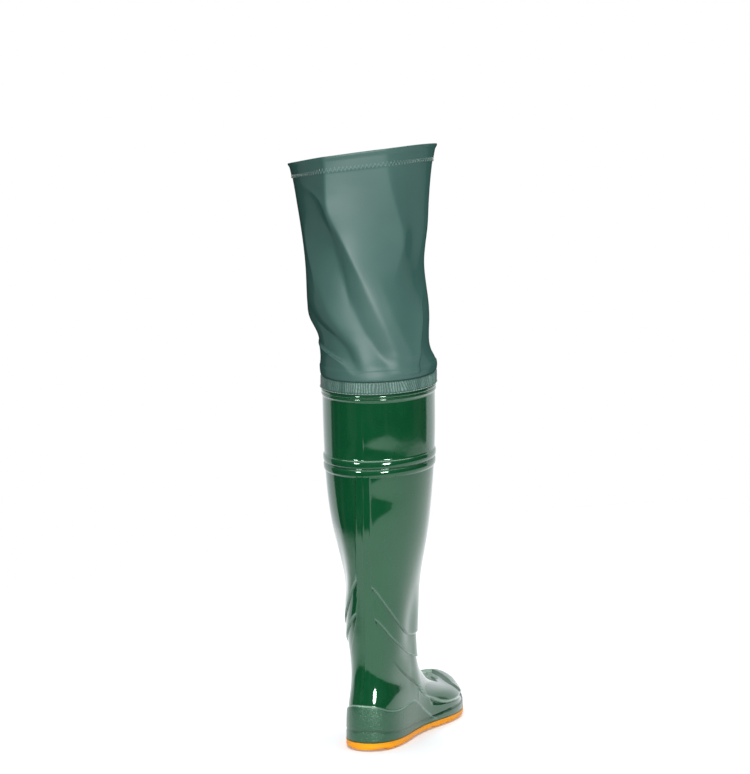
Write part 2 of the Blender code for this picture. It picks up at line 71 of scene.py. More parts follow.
# Loops of the foot: a point on the heel's back, a point on the toe or the vamp's ridge, the half width at
# five places from heel to toe and the swing to the side at four, as shares of the last's own sizes.
FOOT_LOOPS = {
    "feather_edge": (0.000, 0.194, 1.000, 0.084, 0.60, 0.405, 0.340, 0.524, 0.56, 0.0, 0.032, 0.020, -0.082),
    "rand_top": (-0.001, 0.450, 0.999, 0.165, 0.60, 0.405, 0.340, 0.522, 0.56, 0.0, 0.032, 0.020, -0.084),
    "toe_wall": (-0.002, 0.730, 0.974, 0.302, 0.58, 0.405, 0.342, 0.480, 0.46, 0.0, 0.030, 0.018, -0.088),
    "toe_top": (0.004, 1.040, 0.882, 0.386, 0.54, 0.398, 0.340, 0.375, 0.36, 0.0, 0.026, 0.010, -0.075),
    "ball_ridge": (0.0205, 1.375, 0.714, 0.508, 0.48, 0.380, 0.334, 0.312, 0.32, 0.0, 0.020, 0.004, -0.036),
    "vamp": (0.0315, 1.750, 0.562, 0.695, 0.42, 0.362, 0.340, 0.328, 0.37, 0.0, 0.010, 0.000, -0.015),
    "instep": (0.0340, 2.170, 0.470, 0.930, 0.375, 0.360, 0.352, 0.345, 0.345, 0.0, 0.0, 0.0, 0.0),
    "ankle": (0.0335, 2.580, 0.432, 1.310, 0.386, 0.386, 0.386, 0.386, 0.386, 0.0, 0.0, 0.0, 0.0),
}
# Loops of the shaft: height, back, front, width, shift to the side and rise of the front, as shares.
SHAFT_LOOPS = {
    "above_ankle": (0.383, 0.056, 0.818, 0.651, 0.000, 0.0),
    "calf_start": (0.447, 0.041, 0.828, 0.692, 0.000, 0.1),
    "low_calf": (0.511, 0.014, 0.838, 0.755, 0.000, 0.3),
    "mid_calf": (0.575, -0.021, 0.850, 0.832, 0.002, 0.5),
    "full_calf": (0.651, -0.055, 0.869, 0.903, -0.001, 0.8),
    "rib_band": (0.774, -0.083, 0.897, 0.968, -0.010, 1.0),
    "upper_band": (0.894, -0.090, 0.910, 0.995, -0.018, 1.0),
    "rim": (1.000, -0.090, 0.914, 1.000, -0.025, 1.0),
    "flange_top": (1.049, -0.090, 0.914, 1.000, -0.025, 1.0),
}
# Columns of a loop in metres
BACK_Y, BACK_Z, FRONT_Y, FRONT_Z = range(4)
WIDTHS, SWINGS = slice(4, 9), slice(9, 13)
HEEL_WIDTH, HEEL_SWING, TOE_SWING = 4, 9, 12
WIDTH_PLACES = (0.0, 0.2, 0.42, 0.7, 1.0)
SWING_PLACES = (0.0, 0.42, 0.7, 1.0)


def spline(places, values, at):
    """Natural cubic through (places, values), read at the given places. Values may have several columns."""
    x, y, at = (np.asarray(part, float) for part in (places, values, at))
    step = np.diff(x)
    slope = np.diff(y, axis=0) / step.reshape((-1,) + (1,) * (y.ndim - 1))
    count = len(x)
    matrix = np.eye(count)
    right = np.zeros_like(y)
    for i in range(1, count - 1):
        matrix[i, i - 1:i + 2] = step[i - 1], 2 * (step[i - 1] + step[i]), step[i]
        right[i] = 6 * (slope[i] - slope[i - 1])
    bend = np.linalg.solve(matrix, right)
    k = np.clip(np.searchsorted(x, at, side="right") - 1, 0, count - 2)
    shape = k.shape + (1,) * (y.ndim - 1)
    h = step[k].reshape(shape)
    a = (x[k + 1] - at).reshape(shape) / h
    b = 1 - a
    return a * y[k] + b * y[k + 1] + ((a**3 - a) * bend[k] + (b**3 - b) * bend[k + 1]) * h * h / 6


def soft_step(value, start, end):
    """0 before start, 1 after end, with a smooth rise between them."""
    t = np.clip((value - start) / (end - start), 0, 1)
    return t * t * (3 - 2 * t)


def soft_drop(value, start, end):
    """The soft step turned over: 1 before start, 0 after end."""
    return 1 - soft_step(value, start, end)


def bell(off, half):
    """1 in the middle, falling to both sides as exp(-(off / half)^2)."""
    return np.exp(-((off / half) ** 2))


def signed(angle, full=360):
    """An angle brought to within half a turn of zero."""
    return (angle + full / 2) % full - full / 2


def last_loops():
    """The foot's and the shaft's loops in metres, one row each, in the foot's columns."""
    foot_sizes = (FOOT_LENGTH, HEEL_HEIGHT, FOOT_LENGTH, INSTEP_HEIGHT) + (BALL_WIDTH,) * 9
    foot = np.array(list(FOOT_LOOPS.values())) * foot_sizes
    height, back, front, width, shift, rise = np.array(list(SHAFT_LOOPS.values())).T
    height = height * RIM_HEIGHT
    ends = [back * CALF_DEPTH, height, front * CALF_DEPTH, height + rise * RIM_RISE]
    shaft = np.stack(ends + [width * CALF_WIDTH / 2] * 5 + [shift * CALF_WIDTH] * 4, -1)
    return np.concatenate([foot, shaft])


def step_lengths(points):
    """Length of the step from each point to the next."""
    return np.hypot(*np.diff(points, axis=0).T)


# The level of a loop is its way up the boot, the mean of the way along the back and the way along the front.
LOOPS = last_loops()
LOOP_STEPS = step_lengths(LOOPS[:, [BACK_Y, BACK_Z]]) + step_lengths(LOOPS[:, [FRONT_Y, FRONT_Z]])
LOOP_LEVELS = np.concatenate([[0.0], np.cumsum(LOOP_STEPS / 2)])
INSTEP_LEVEL = LOOP_LEVELS[list(FOOT_LOOPS).index("instep")]
ANKLE_LEVEL = LOOP_LEVELS[len(FOOT_LOOPS)]
RIM_BACK, RIM_FRONT = LOOPS[-1, [BACK_Y, FRONT_Y]]


def back_height(level):
    """Height of a loop's back above the floor."""
    return spline(LOOP_LEVELS, LOOPS[:, BACK_Z], level)


def shaft_level(height):
    """The level of the shaft's loop whose back is at a height above the floor."""
    levels = np.linspace(INSTEP_LEVEL, LOOP_LEVELS[-1], 600)
    return np.interp(height, back_height(levels), levels)


def toe_spring(y):
    """Rise of the sole towards the toe: the square of the way past the ball."""
    start = SPRING_START * FOOT_LENGTH
    return TOE_SPRING * (np.maximum(y - start, 0) / (FOOT_LENGTH - start)) ** 2


def sole_top(y):
    """Height of the outsole's top face, thinner to the toe, at y from the heel's back."""
    return HEEL_SOLE + (TOE_SOLE - HEEL_SOLE) * y / FOOT_LENGTH + toe_spring(y)


def rim_tilt(y):
    """Rise of the rim and all that is sewn to it from back to front."""
    return RIM_RISE * (y - RIM_BACK) / (RIM_FRONT - RIM_BACK)


def last_surface(level, turn):
    """Points of the last at levels and turns from the back. Along a loop the share is (1 - cos turn) / 2, the
    place and height run from its back to its front with the share, and x is swing + half width * sin turn."""
    rows = spline(LOOP_LEVELS, LOOPS, level)[:, None, :]
    share = (1 - np.cos(turn)) / 2
    width_weights = spline(WIDTH_PLACES, np.eye(len(WIDTH_PLACES)), share)
    swing_weights = spline(SWING_PLACES, np.eye(len(SWING_PLACES)), share)
    half_width = (rows[..., WIDTHS] * width_weights).sum(-1)
    x = (rows[..., SWINGS] * swing_weights).sum(-1) + half_width * np.sin(turn)
    y = rows[..., BACK_Y] + share * (rows[..., FRONT_Y] - rows[..., BACK_Y])
    z = rows[..., BACK_Z] + share * (rows[..., FRONT_Z] - rows[..., BACK_Z])
    return np.stack([x, y, z + toe_spring(y)], -1)


def outward(points):
    """Unit normals of a grid of loops: the cross product of the way round and the way up."""
    along = np.gradient(points, axis=0)
    normal = np.cross(np.roll(points, -1, axis=1) - np.roll(points, 1, axis=1), along)
    return normal / np.linalg.norm(normal, axis=-1, keepdims=True)


# Edges of the moulded overlays in side view: place from the heel's back and height over the sole, in mm
COUNTER_EDGE = ((-4, 50), (3, 49.5), (11, 46), (24, 42), (38, 41), (58, 42.5), (77, 43), (88, 38),
                (110, 24.5), (140, 6))
RAND_EDGE = ((-4, 22), (20, 19.5), (50, 17), (100, 15), (130, 14.5), (160, 15.5), (272, 15))
UPPER_PLATE = ((3, 190), (14, 165), (25, 147), (36, 134), (50, 125), (70, 120), (95, 120), (125, 123))
LOWER_PLATE = ((10, 147), (22, 127), (35, 115), (51, 105), (70, 97), (95, 90), (125, 86))
PANEL_EDGE = ((24, 102), (48, 82), (75, 67.5), (90, 58.5), (102, 47), (128, 35), (143, 29), (173, 24.5),
              (200, 23), (272, 22))
# Toe cap: distance from the crest grown by the drop below it, and the place where the cap begins, in mm
CAP_EDGE = ((0, 254), (8, 252), (14, 248), (26, 236), (41, 218), (48, 211), (54, 208.5), (60, 210.5),
            (66, 217), (74, 230))
CAP_TOP = 0.050
CAP_DROP = 0.6
CAP_LIFT, CAP_SIDE_LOSS = 0.0027, 0.0011
# Ankle plates: edge, lift at the edge and height over which the lift tapers off
PLATES = ((UPPER_PLATE, 0.0019, 0.060), (LOWER_PLATE, 0.0018, 0.034))
INNER_RISE = 0.004
PANEL_LIFT = 0.0019
COUNTER_LIFT = RAND_LIFT = 0.0014
COUNTER_END = 0.135
# Back strip: height, its middle and its half width, in millimetres. It flares towards the heel.
STRIP_RUN = ((60, 0, 30), (96, 0, 25), (120, 0, 17), (143, 0, 11.5), (185, 0.5, 8.5), (250, 4, 8),
             (305, 5, 7.5), (420, 5, 7.5))
STRIP_FOOT, STRIP_FLARE = 0.060, 0.143
STRIP_LIFT, STRIP_RIM_LIFT, STRIP_RIM_HALF = 0.0010, 0.0004, 0.0009
PARTING_LIFT, PARTING_HALF = 0.0003, 0.0005
SIDE_PARTING, SIDE_PARTING_LIFT, SIDE_PARTING_HALF = 0.091, 0.0005, 0.0008
RIBS = (0.3100, 0.3195)
RIB_HALF, RIB_LIFT = 0.0042, 0.0016
BEADS = (0.3905, 0.3940)
BEAD_HALF, BEAD_LIFT = 0.0017, 0.0013
# Bars round the shaft: heights, half width, lift, and the two powers that make a bar square or round
BARS = ((RIBS, RIB_HALF, RIB_LIFT, 3, 0.6), (BEADS, BEAD_HALF, BEAD_LIFT, 2, 0.5))
# What is cut in: the scoop under the panel's edge, the slit on the vamp and the grooves along the steps
SCOOP_DEPTH, SCOOP_HEIGHT, SCOOP_FOOT = 0.0022, 0.0075, 0.0085
SLIT_DEPTH, SLIT_PLACE, SLIT_SLANT, SLIT_HALF = 0.0010, 0.2385, 1.15, 0.0034
CAP_GROOVE, CAP_GROOVE_HALF = 0.0005, 0.0013
STEP_GROOVE, STEP_GROOVE_HALF = 0.0004, 0.0008
RAND_GROOVE, RAND_GROOVE_LOSS, RAND_GROOVE_HALF = 0.0007, 0.0005, 0.0011
LIP_HALF = 0.0007
# Soft hollows and swellings: bearing from the back and height, half widths in degrees and mm, depth in mm
HOLLOWS = (
    (-46, 205, 26, 42, -4.0), (-24, 252, 16, 26, 1.2), (-58, 178, 26, 26, -2.4), (98, 165, 32, 45, -2.6),
    (12, 240, 16, 20, 1.6), (86, 132, 24, 34, -4.5), (-80, 138, 26, 14, -1.4),
    (66, 81, 34, 17, -3.0), (44, 374, 6, 15, -0.9), (30, 378, 9, 16, 0.5),
    (120, 250, 40, 60, -1.6), (14, 330, 26, 15, -3.2), (28, 284, 20, 15, -1.8),
)
EDGE = 0.0007


def edge_height(table, y):
    """Height of an overlay's edge: a cubic through its table, held at its ends."""
    rows = np.array(table, float) / 1000
    return spline(rows[:, 0], rows[:, 1], np.clip(y, rows[0, 0], rows[-1, 0]))


def strip_course(back, lowest):
    """Middle and half width of the back strip at heights of the back, held from the lowest one down."""
    run = np.array(STRIP_RUN) / 1000
    return spline(run[:, 0], run[:, 1:], np.clip(back, lowest, run[-1, 0])).T


def hollows(points, level, turn):
    """Depth of the soft hollows and swellings: a bell round the leg times a bell up it, for each of them,
    fading to nothing over the forefoot."""
    back = back_height(level)[:, None] * 1000
    forefoot = soft_step(points[..., 1], 0.070, 0.100) * soft_drop(points[..., 2], 0.09, 0.13)
    sunk = np.zeros(turn.shape)
    for bearing, height, span, rise, depth in HOLLOWS:
        away = signed(np.degrees(turn) - bearing)
        sunk += depth / 1000 * np.exp(-((away / span) ** 2) - ((back - height) / rise) ** 2)
    return sunk * (1 - forefoot)


def moulded_relief(points, level, turn):
    """Relief over the last, with the marks of its finish, the painted shade of its grooves and the painted
    highlight of its lips. A plate is lifted at its lower edge and tapers up, the counter, rand, panel, cap and
    strip are steps, and ribs and beads are round bars. Last of all the dips are taken off: grooves along the
    steps, the slit, and the scoop that deepens up to the panel's edge."""
    x, y = points[..., 0], points[..., 1]
    z = points[..., 2] - toe_spring(y)
    back = back_height(level)[:, None]
    middle, half = strip_course(back[:, 0], STRIP_FOOT)[:, :, None]
    behind = np.cos(turn) > 0.2
    off_middle = np.abs(x - middle)
    in_strip = behind * soft_drop(off_middle, half - EDGE, half + EDGE)
    strip_run = soft_step(back, 0.085, 0.19) * soft_drop(back, RIBS[0] - 0.002, RIBS[0] + 0.002)
    raised = STRIP_LIFT * in_strip * strip_run
    raised += STRIP_RIM_LIFT * (behind * bell(off_middle - half, STRIP_RIM_HALF) * strip_run)
    raised += PARTING_LIFT * (behind * bell(off_middle, PARTING_HALF) * soft_drop(back, 0.383, 0.386))

    free = 1 - in_strip
    plate_lines = plate_lips = 0
    for table, lift, taper in PLATES:
        over = z - edge_height(table, y) - (x < 0) * INNER_RISE
        raised += lift * free * soft_step(over, -EDGE, EDGE) * soft_drop(over, 0, taper)
        plate_lines = plate_lines + bell(over + 0.0009, STEP_GROOVE_HALF)
        plate_lips = plate_lips + bell(over - 0.0006, LIP_HALF)
    plate_lines = plate_lines * free * soft_drop(y, 0.080, 0.100)
    plate_lips = plate_lips * free

    over_panel = z - edge_height(PANEL_EDGE, y)
    on_side = soft_step(y, 0.018, 0.034)
    low = soft_drop(z, 0.078, 0.100)
    panel_fade = 1 - 0.45 * soft_step(over_panel, 0, 0.040)
    raised += PANEL_LIFT * free * on_side * soft_step(over_panel, -EDGE, EDGE) * panel_fade * low
    panel_line = bell(over_panel + 0.0009, STEP_GROOVE_HALF) * on_side * low
    panel_lip = bell(over_panel - 0.0004, LIP_HALF) * on_side * low * soft_step(y, 0.075, 0.100)
    scoop_foot = SCOOP_FOOT * np.clip((0.162 - y) / 0.034, 0, 1) * soft_step(y, 0.120, 0.127)
    scoop = np.clip((over_panel + scoop_foot) / SCOOP_HEIGHT, 0, 1) * soft_drop(over_panel, -EDGE, EDGE)

    crest = spline(LOOP_LEVELS, LOOPS[:, TOE_SWING], level)[:, None]
    aside = x - crest
    reach = np.abs(aside) + CAP_DROP * np.maximum(CAP_TOP - z, 0)
    past_cap = y - edge_height(CAP_EDGE, reach)
    cap = soft_step(past_cap, -0.0012, 0.0012) * soft_drop(z, 0.078, 0.092) * soft_step(y, 0.085, 0.095)
    raised += (CAP_LIFT - CAP_SIDE_LOSS * soft_step(reach, 0.036, 0.052)) * cap
    cap_line = bell(past_cap + 0.0004, CAP_GROOVE_HALF) * soft_drop(z, 0.070, 0.085)
    cap_line = cap_line * soft_step(y, 0.10, 0.12)
    slit = bell(y - SLIT_PLACE + SLIT_SLANT * aside, SLIT_HALF)
    slit = slit * soft_step(aside, -0.002, 0.003) * soft_drop(aside, 0.013, 0.018)

    over_rand = z - edge_height(RAND_EDGE, y)
    over_counter = z - edge_height(COUNTER_EDGE, y)
    rand = soft_drop(over_rand, -EDGE * 0.7, EDGE * 0.7)
    counter = soft_drop(over_counter, -EDGE, EDGE) * (y < COUNTER_END)
    raised = np.maximum(raised, np.maximum(RAND_LIFT * rand, COUNTER_LIFT * counter))
    rand_line = bell(over_rand - 0.0004, RAND_GROOVE_HALF)
    counter_lip = bell(over_counter - 0.0002, LIP_HALF) * (y < COUNTER_END)
    side_parting = bell(y - SIDE_PARTING, SIDE_PARTING_HALF)
    raised += SIDE_PARTING_LIFT * (side_parting * soft_step(z, 0.040, 0.043) * soft_drop(z, 0.056, 0.060))

    for centres, half_bar, lift, square, rounding in BARS:
        for centre in centres:
            bar = np.clip(1 - np.abs((back - centre) / half_bar) ** square, 0, 1) ** rounding
            raised = np.maximum(raised, lift * bar)
    dips = SCOOP_DEPTH * scoop * (x > 0) + SLIT_DEPTH * slit + CAP_GROOVE * cap_line
    dips = dips + STEP_GROOVE * (plate_lines + panel_line)
    dips = dips + (RAND_GROOVE - RAND_GROOVE_LOSS * soft_step(y, 0.12, 0.14)) * rand_line
    marks = {
        "grained": [counter, rand * 0.8, cap * 0.45],
        # Painted shade: the grooves along the steps, the slit and the cap's groove are darkened in the colour
        "painted_groove_shade": [plate_lines, 0.7 * panel_line * (1 - panel_lip), slit, rand_line, cap_line],
        # Painted highlight: a pale line along the lips of plates, panel and counter
        "painted_lip_highlight": [0.5 * plate_lips, panel_lip, 0.6 * counter_lip],
    }
    return raised - dips, {key: np.clip(np.max(parts, axis=0), 0, 1) for key, parts in marks.items()}


def crowded_turns(count, crowds, side_weight):
    """Turns round a loop from the back: equal steps of the running sum of 1 - weight * cos 2 turn with a bell
    added at each crowded place, so that crisp vertical edges get close columns."""
    fine = np.linspace(0, 2 * np.pi, 6001)
    density = 1 - side_weight * np.cos(2 * fine)
    for place, weight, width in crowds:
        density = density + weight * bell(signed(fine - place, 2 * np.pi), width)
    total = np.concatenate([[0.0], np.cumsum((density[1:] + density[:-1]) / 2)])
    return np.interp(np.arange(count) / count * total[-1], total, fine)


STRIP_TURN, STRIP_TURN_END = 0.16, 1.25


def strip_turns(level, turn):
    """Turns moved so that two fixed columns follow the back strip's edges at every level: the shift is the
    angle of the edge less its fixed turn, fading to nothing round the side."""
    middle, half = strip_course(back_height(level), STRIP_FLARE)
    rows = spline(LOOP_LEVELS, LOOPS, level)
    right, left = (
        np.arcsin(np.clip((edge - rows[:, HEEL_SWING]) / rows[:, HEEL_WIDTH], -0.6, 0.6))[:, None]
        for edge in (middle + half, middle - half)
    )
    from_back = signed(turn, 2 * np.pi)
    fade = soft_drop(np.abs(from_back), STRIP_TURN, STRIP_TURN_END)
    inside = np.clip(from_back / STRIP_TURN, -1, 1)
    return turn + fade * ((right + left) / 2 + inside * ((right - left) / 2 - STRIP_TURN))


def linear(code):
    """Linear colour of an sRGB hex value."""
    parts = np.array([int(code[i:i + 2], 16) for i in (1, 3, 5)]) / 255
    made = np.where(parts <= 0.04045, parts / 12.92, ((parts + 0.055) / 1.055) ** 2.4)
    return (*made.tolist(), 1.0)


def add_node(tree, kind, inputs=(), out=None, **settings):
    """Adds a shader node with its settings. An input given as a socket is linked, any other is set. Returns
    the named output, or the first one in use."""
    made = tree.nodes.new("ShaderNode" + kind)
    for key, value in settings.items():
        setattr(made, key, value)
    for key, value in dict(inputs).items():
        if isinstance(value, bpy.types.NodeSocket):
            tree.links.new(value, made.inputs[key])
        else:
            made.inputs[key].default_value = value
    return made.outputs[out] if out else next(socket for socket in made.outputs if socket.enabled)


def new_finish(name, inputs):
    """A material with its Principled shader's own values set; returns it with its tree and shader."""
    made = bpy.data.materials.new(name)
    made.use_nodes = True
    shader = made.node_tree.nodes["Principled BSDF"]
    for key, value in inputs.items():
        shader.inputs[key].default_value = value
    return made, made.node_tree, shader


def set_inputs(tree, shader, links):
    """Links sockets to the shader's inputs by name."""
    for key, socket in links.items():
        tree.links.new(socket, shader.inputs[key])


def put_in_scene(name, data):
    """An object that shows a mesh, a lamp or a camera."""
    made = bpy.data.objects.new(name, data)
    bpy.context.scene.collection.objects.link(made)
    return made


def grid_corners(grid):
    """The four corners of each cell of a grid, in turning order."""
    return np.stack([grid[:-1, :-1], grid[:-1, 1:], grid[1:, 1:], grid[1:, :-1]], 2)


def tube_piece(name, loops, turn, radius, lengths, inside_from, finishes, marks=()):
    """A closed tube: each loop is joined to the next and the last to the first, in quads that face outwards.
    Its UV map holds the turn times a mean radius, and lengths along the tube, one more than the loops."""
    rows, columns = loops.shape[:2]
    index = np.pad(np.arange(rows * columns).reshape(rows, columns), ((0, 1), (0, 1)), mode="wrap")
    quads = grid_corners(index).reshape(-1, 4)
    mesh = bpy.data.meshes.new(name)
    mesh.from_pydata(loops.reshape(-1, 3).tolist(), [], quads.tolist())
    spots = np.stack(np.meshgrid(np.append(turn, 2 * np.pi) * radius, lengths), -1)
    corners = grid_corners(spots).reshape(-1).astype(np.float32)
    mesh.uv_layers.new(name="cloth_lengths").data.foreach_set("uv", corners)
    for key, values in dict(marks).items():
        layer = mesh.attributes.new(key, "FLOAT", "POINT")
        layer.data.foreach_set("value", values.reshape(-1).astype(np.float32))
    for finish in finishes:
        mesh.materials.append(finish)
    inside = np.repeat(np.arange(rows) >= inside_from, columns).astype(np.int32)
    mesh.polygons.foreach_set("material_index", inside * (len(finishes) - 1))
    mesh.polygons.foreach_set("use_smooth", np.ones(len(quads), bool))
    mesh.update()
    return put_in_scene(name, mesh)


# Soft PVC out of a polished mould: deep green, wet gloss with a faint orange peel, so it mirrors the studio.
# The counter, the rand and, more lightly, the cap are spark-eroded in the mould and come out matt, with a
# speckle drawn at 1.4 mm so that it shows. The grooves along the steps are darkened with painted shade, and
# the lips of plates, panel and counter are lightened with a painted highlight.
def gloss_pvc():
    finish, tree, shader = new_finish("soft_pvc_gloss_green", {
        "IOR": 1.53, "Specular IOR Level": 0.7, "Specular Tint": linear("#DBFFEA"), "Coat Weight": 0.30,
        "Coat Roughness": 0.03,
    })
    place = add_node(tree, "TexCoord", out="Object")
    grained, groove_shade, painted_lip_highlight = (add_node(tree, "Attribute", out="Fac", attribute_name=mark)
                              for mark in ("grained", "painted_groove_shade", "painted_lip_highlight"))
    # Clouding of the pigment, 35 mm across
    cloud = add_node(tree, "TexNoise", {"Vector": place, "Scale": 1 / 0.035, "Detail": 3.0})
    colour = add_node(tree, "Mix", {"Factor": cloud, "A": linear("#083B20"), "B": linear("#0B4427")},
                      data_type="RGBA")
    # The grooves along the steps and the slit are darkened here with painted shade
    shaded = add_node(tree, "Math", {0: groove_shade, 1: 0.75}, operation="MULTIPLY")
    # The last layer lightens the lips of plates, panel and counter with a painted highlight
    for amount, code in ((grained, "#14432B"), (shaded, "#04220F"), (painted_lip_highlight, "#7F998D")):
        colour = add_node(tree, "Mix", {"Factor": amount, "A": colour, "B": linear(code)}, data_type="RGBA")
    # Smears of handling, 60 mm across, the eroded grain, 1.4 mm, and the orange peel, 18 mm
    smear = add_node(tree, "TexNoise", {"Vector": place, "Scale": 1 / 0.060, "Detail": 5.0})
    polish = add_node(tree, "MapRange", {"Value": smear, "From Min": 0.35, "From Max": 0.7,
                                         "To Min": 0.055, "To Max": 0.11})
    rough = add_node(tree, "Mix", {"Factor": grained, "A": polish, "B": 0.34}, data_type="FLOAT")
    speckle = add_node(tree, "TexNoise", {"Vector": place, "Scale": 1 / 0.0014, "Detail": 2.0})
    grit = add_node(tree, "Math", {0: speckle, 1: grained}, operation="MULTIPLY")
    peel = add_node(tree, "TexNoise", {"Vector": place, "Scale": 1 / 0.018, "Detail": 2.0})
    wavy = add_node(tree, "Bump", {"Height": peel, "Strength": 0.10, "Distance": 0.0012})
    bump = add_node(tree, "Bump", {"Height": grit, "Strength": 0.8, "Distance": 0.0008, "Normal": wavy})
    set_inputs(tree, shader, {"Base Color": colour, "Roughness": rough, "Normal": bump})
    return finish


def cross_weave(tree, place, across, along):
    """Height of a weave or knit: the product of a wave across and a wave along, each with its pitch and
    wander. A wave's scale is pi / 10 over its pitch."""
    waves = [
        add_node(tree, "TexWave", {"Vector": place, "Scale": 1 / pitch * np.pi / 10, "Distortion": wander},
                 out="Fac", wave_type="BANDS", bands_direction=way)
        for way, (pitch, wander) in (("X", across), ("Y", along))
    ]
    return add_node(tree, "Math", {0: waves[0], 1: waves[1]}, operation="MULTIPLY")


def matt_cloth(name, rough, sheen, by_length, across, along, hollow_shade, crown_light, strength, height):
    """Cloth without a coating: its threads are paler on their crowns as painted light and darker in the
    hollows between them as painted shade. The pattern follows the cloth's own lengths, or else the piece's
    coordinates."""
    finish, tree, shader = new_finish(name, {"Roughness": rough, "Sheen Weight": sheen})
    if by_length:
        place = add_node(tree, "UVMap", uv_map="cloth_lengths")
    else:
        place = add_node(tree, "TexCoord", out="Object")
    threads = cross_weave(tree, place, across, along)
    # Painted shade in the hollows between the threads, painted light on their crowns
    colour = add_node(tree, "Mix", {"Factor": threads, "A": linear(hollow_shade), "B": linear(crown_light)},
                      data_type="RGBA")
    bump = add_node(tree, "Bump", {"Height": threads, "Strength": strength, "Distance": height})
    set_inputs(tree, shader, {"Base Color": colour, "Normal": bump})
    return finish


green_pvc = gloss_pvc()
# Cotton jersey bonded to the inside of the boot: pale grey-green, matt, with wales 2 mm apart, drawn a little
# coarser than the real knit so that they show.
jersey = matt_cloth(
    "cotton_jersey_lining", rough=0.9, sheen=0.2, by_length=True, across=(0.002, 0.6), along=(0.0016, 0.0),
    hollow_shade="#5E6B66", crown_light="#93A09A", strength=0.6, height=0.0005,
)

UPPER_COLUMNS = 320
FOOT_ROWS = 204
SHAFT_START = 0.190
UPPER_RADIUS = 0.066
# Rows across a bar, as shares of its half width, close together at its steep edges
bar_rows = np.array([-1, -0.985, -0.94, -0.85, -0.68, -0.4, 0, 0.4, 0.68, 0.85, 0.94, 0.985, 1])
back_crowds = [(0.0, 2.5, 0.02), (STRIP_TURN, 5, 0.03), (-STRIP_TURN, 5, 0.03)]
toe_crowd = (np.pi, 0.9, 0.35)
upper_turn = crowded_turns(UPPER_COLUMNS, back_crowds + [toe_crowd], 0.35)
upper_heights = np.sort(np.concatenate([
    np.linspace(SHAFT_START, RIBS[0] - 0.012, 16)[1:], RIBS[0] - np.array([0.008, 0.005]),
    (np.array(RIBS)[:, None] + RIB_HALF * bar_rows).ravel(),
    np.linspace(RIBS[1] + 0.006, BEADS[0] - 0.004, 9),
    (np.array(BEADS)[:, None] + BEAD_HALF * bar_rows[::2]).ravel(),
    [FLANGE_FOOT + 0.0003, FLANGE_FOOT + 0.0008, FLANGE_TOP],
]))
foot_levels = np.linspace(0, shaft_level(SHAFT_START), FOOT_ROWS)
upper_levels = np.concatenate([foot_levels, shaft_level(upper_heights)])
upper_turns = strip_turns(upper_levels, upper_turn)
last = last_surface(upper_levels, upper_turns)
relief, upper_marks = moulded_relief(last, upper_levels, upper_turns)
in_flange = soft_step(back_height(upper_levels), FLANGE_FOOT, FLANGE_FOOT + 0.0007)[:, None]
relief = relief - in_flange * (UPPER_WALL - FLANGE_WALL) + hollows(last, upper_levels, upper_turns)
upper_outside = last + outward(last) * relief[..., None]
lining_heights = np.linspace(0.165, FLANGE_TOP, 16)
lining_levels = np.concatenate([np.linspace(0, ANKLE_LEVEL, 14), shaft_level(lining_heights)])
lining_turns = strip_turns(lining_levels, upper_turn)
lining = last_surface(lining_levels, lining_turns)
lining = lining + outward(lining) * (hollows(lining, lining_levels, lining_turns) - UPPER_WALL)[..., None]
for wall in (upper_outside, lining):
    wall[0, :, 2] = sole_top(wall[0, :, 1]) + SEAT_GAP
    wall[-1, :, 2] = FLANGE_TOP + rim_tilt(wall[-1, :, 1])
bare = np.zeros(lining.shape[:2])
boot_upper = tube_piece(
    "moulded_upper", np.concatenate([upper_outside, lining[::-1]]) - HEEL_SHIFT, upper_turn, UPPER_RADIUS,
    np.concatenate([upper_levels, lining_levels[::-1], [0.0]]), len(upper_levels), [green_pvc, jersey],
    {key: np.concatenate([mark, bare]) for key, mark in upper_marks.items()},
)
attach(boot_upper, "root")
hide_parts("boot_upper")


# The outsole is a second shot of orange PVC, injected against the feather edge of the upper while it is still
# on the last. Its bowed lugs run out to the rim, where their grooves show as small notches.

SOLE_MARGIN = 0.0018
SOLE_BEVEL = 0.0022
SOLE_WAIST = 0.0005
LUG_DEPTH = 0.0026
LUG_PITCH = 0.0125
LUG_WIDTH = 0.0090
LUG_BOW = 0.009
LUG_DRAFT = 0.0007
ARCH_RISE = 0.0008
TREADS = ((0.035, 0.30), (0.46, 0.965))
# Where the sole's wall ends and its bevel begins, as a share of the way down
WALL_FOOT = 0.62
WELD = 2e-6
SHARP_ANGLE = 38


def sole_outline(share, margin):
    """Place, middle and half width of the feather edge grown by a margin, at shares of the grown length."""
    turn = np.arccos(np.clip(1 - 2 * share, -1, 1))
    right, left = (last_surface(np.zeros(1), side * turn)[0, :, 0] for side in (1, -1))
    place = -margin + share * (FOOT_LENGTH + 2 * margin)
    return place, (right + left) / 2, (right - left) / 2 + margin * np.sin(turn) ** 0.5


def lug_cover(place):
    """1 on a lug and 0 in a groove: bars of one width at one pitch under the heel and under the ball."""
    cover = np.zeros_like(place)
    for start, end in TREADS:
        count = int((end - start) * FOOT_LENGTH // LUG_PITCH)
        first = ((start + end) * FOOT_LENGTH - (count - 1) * LUG_PITCH) / 2
        nearest = first + LUG_PITCH * np.clip(np.round((place - first) / LUG_PITCH), 0, count - 1)
        off = np.abs(place - nearest) - LUG_WIDTH / 2
        cover = np.maximum(cover, soft_drop(off, -LUG_DRAFT, LUG_DRAFT))
    return cover


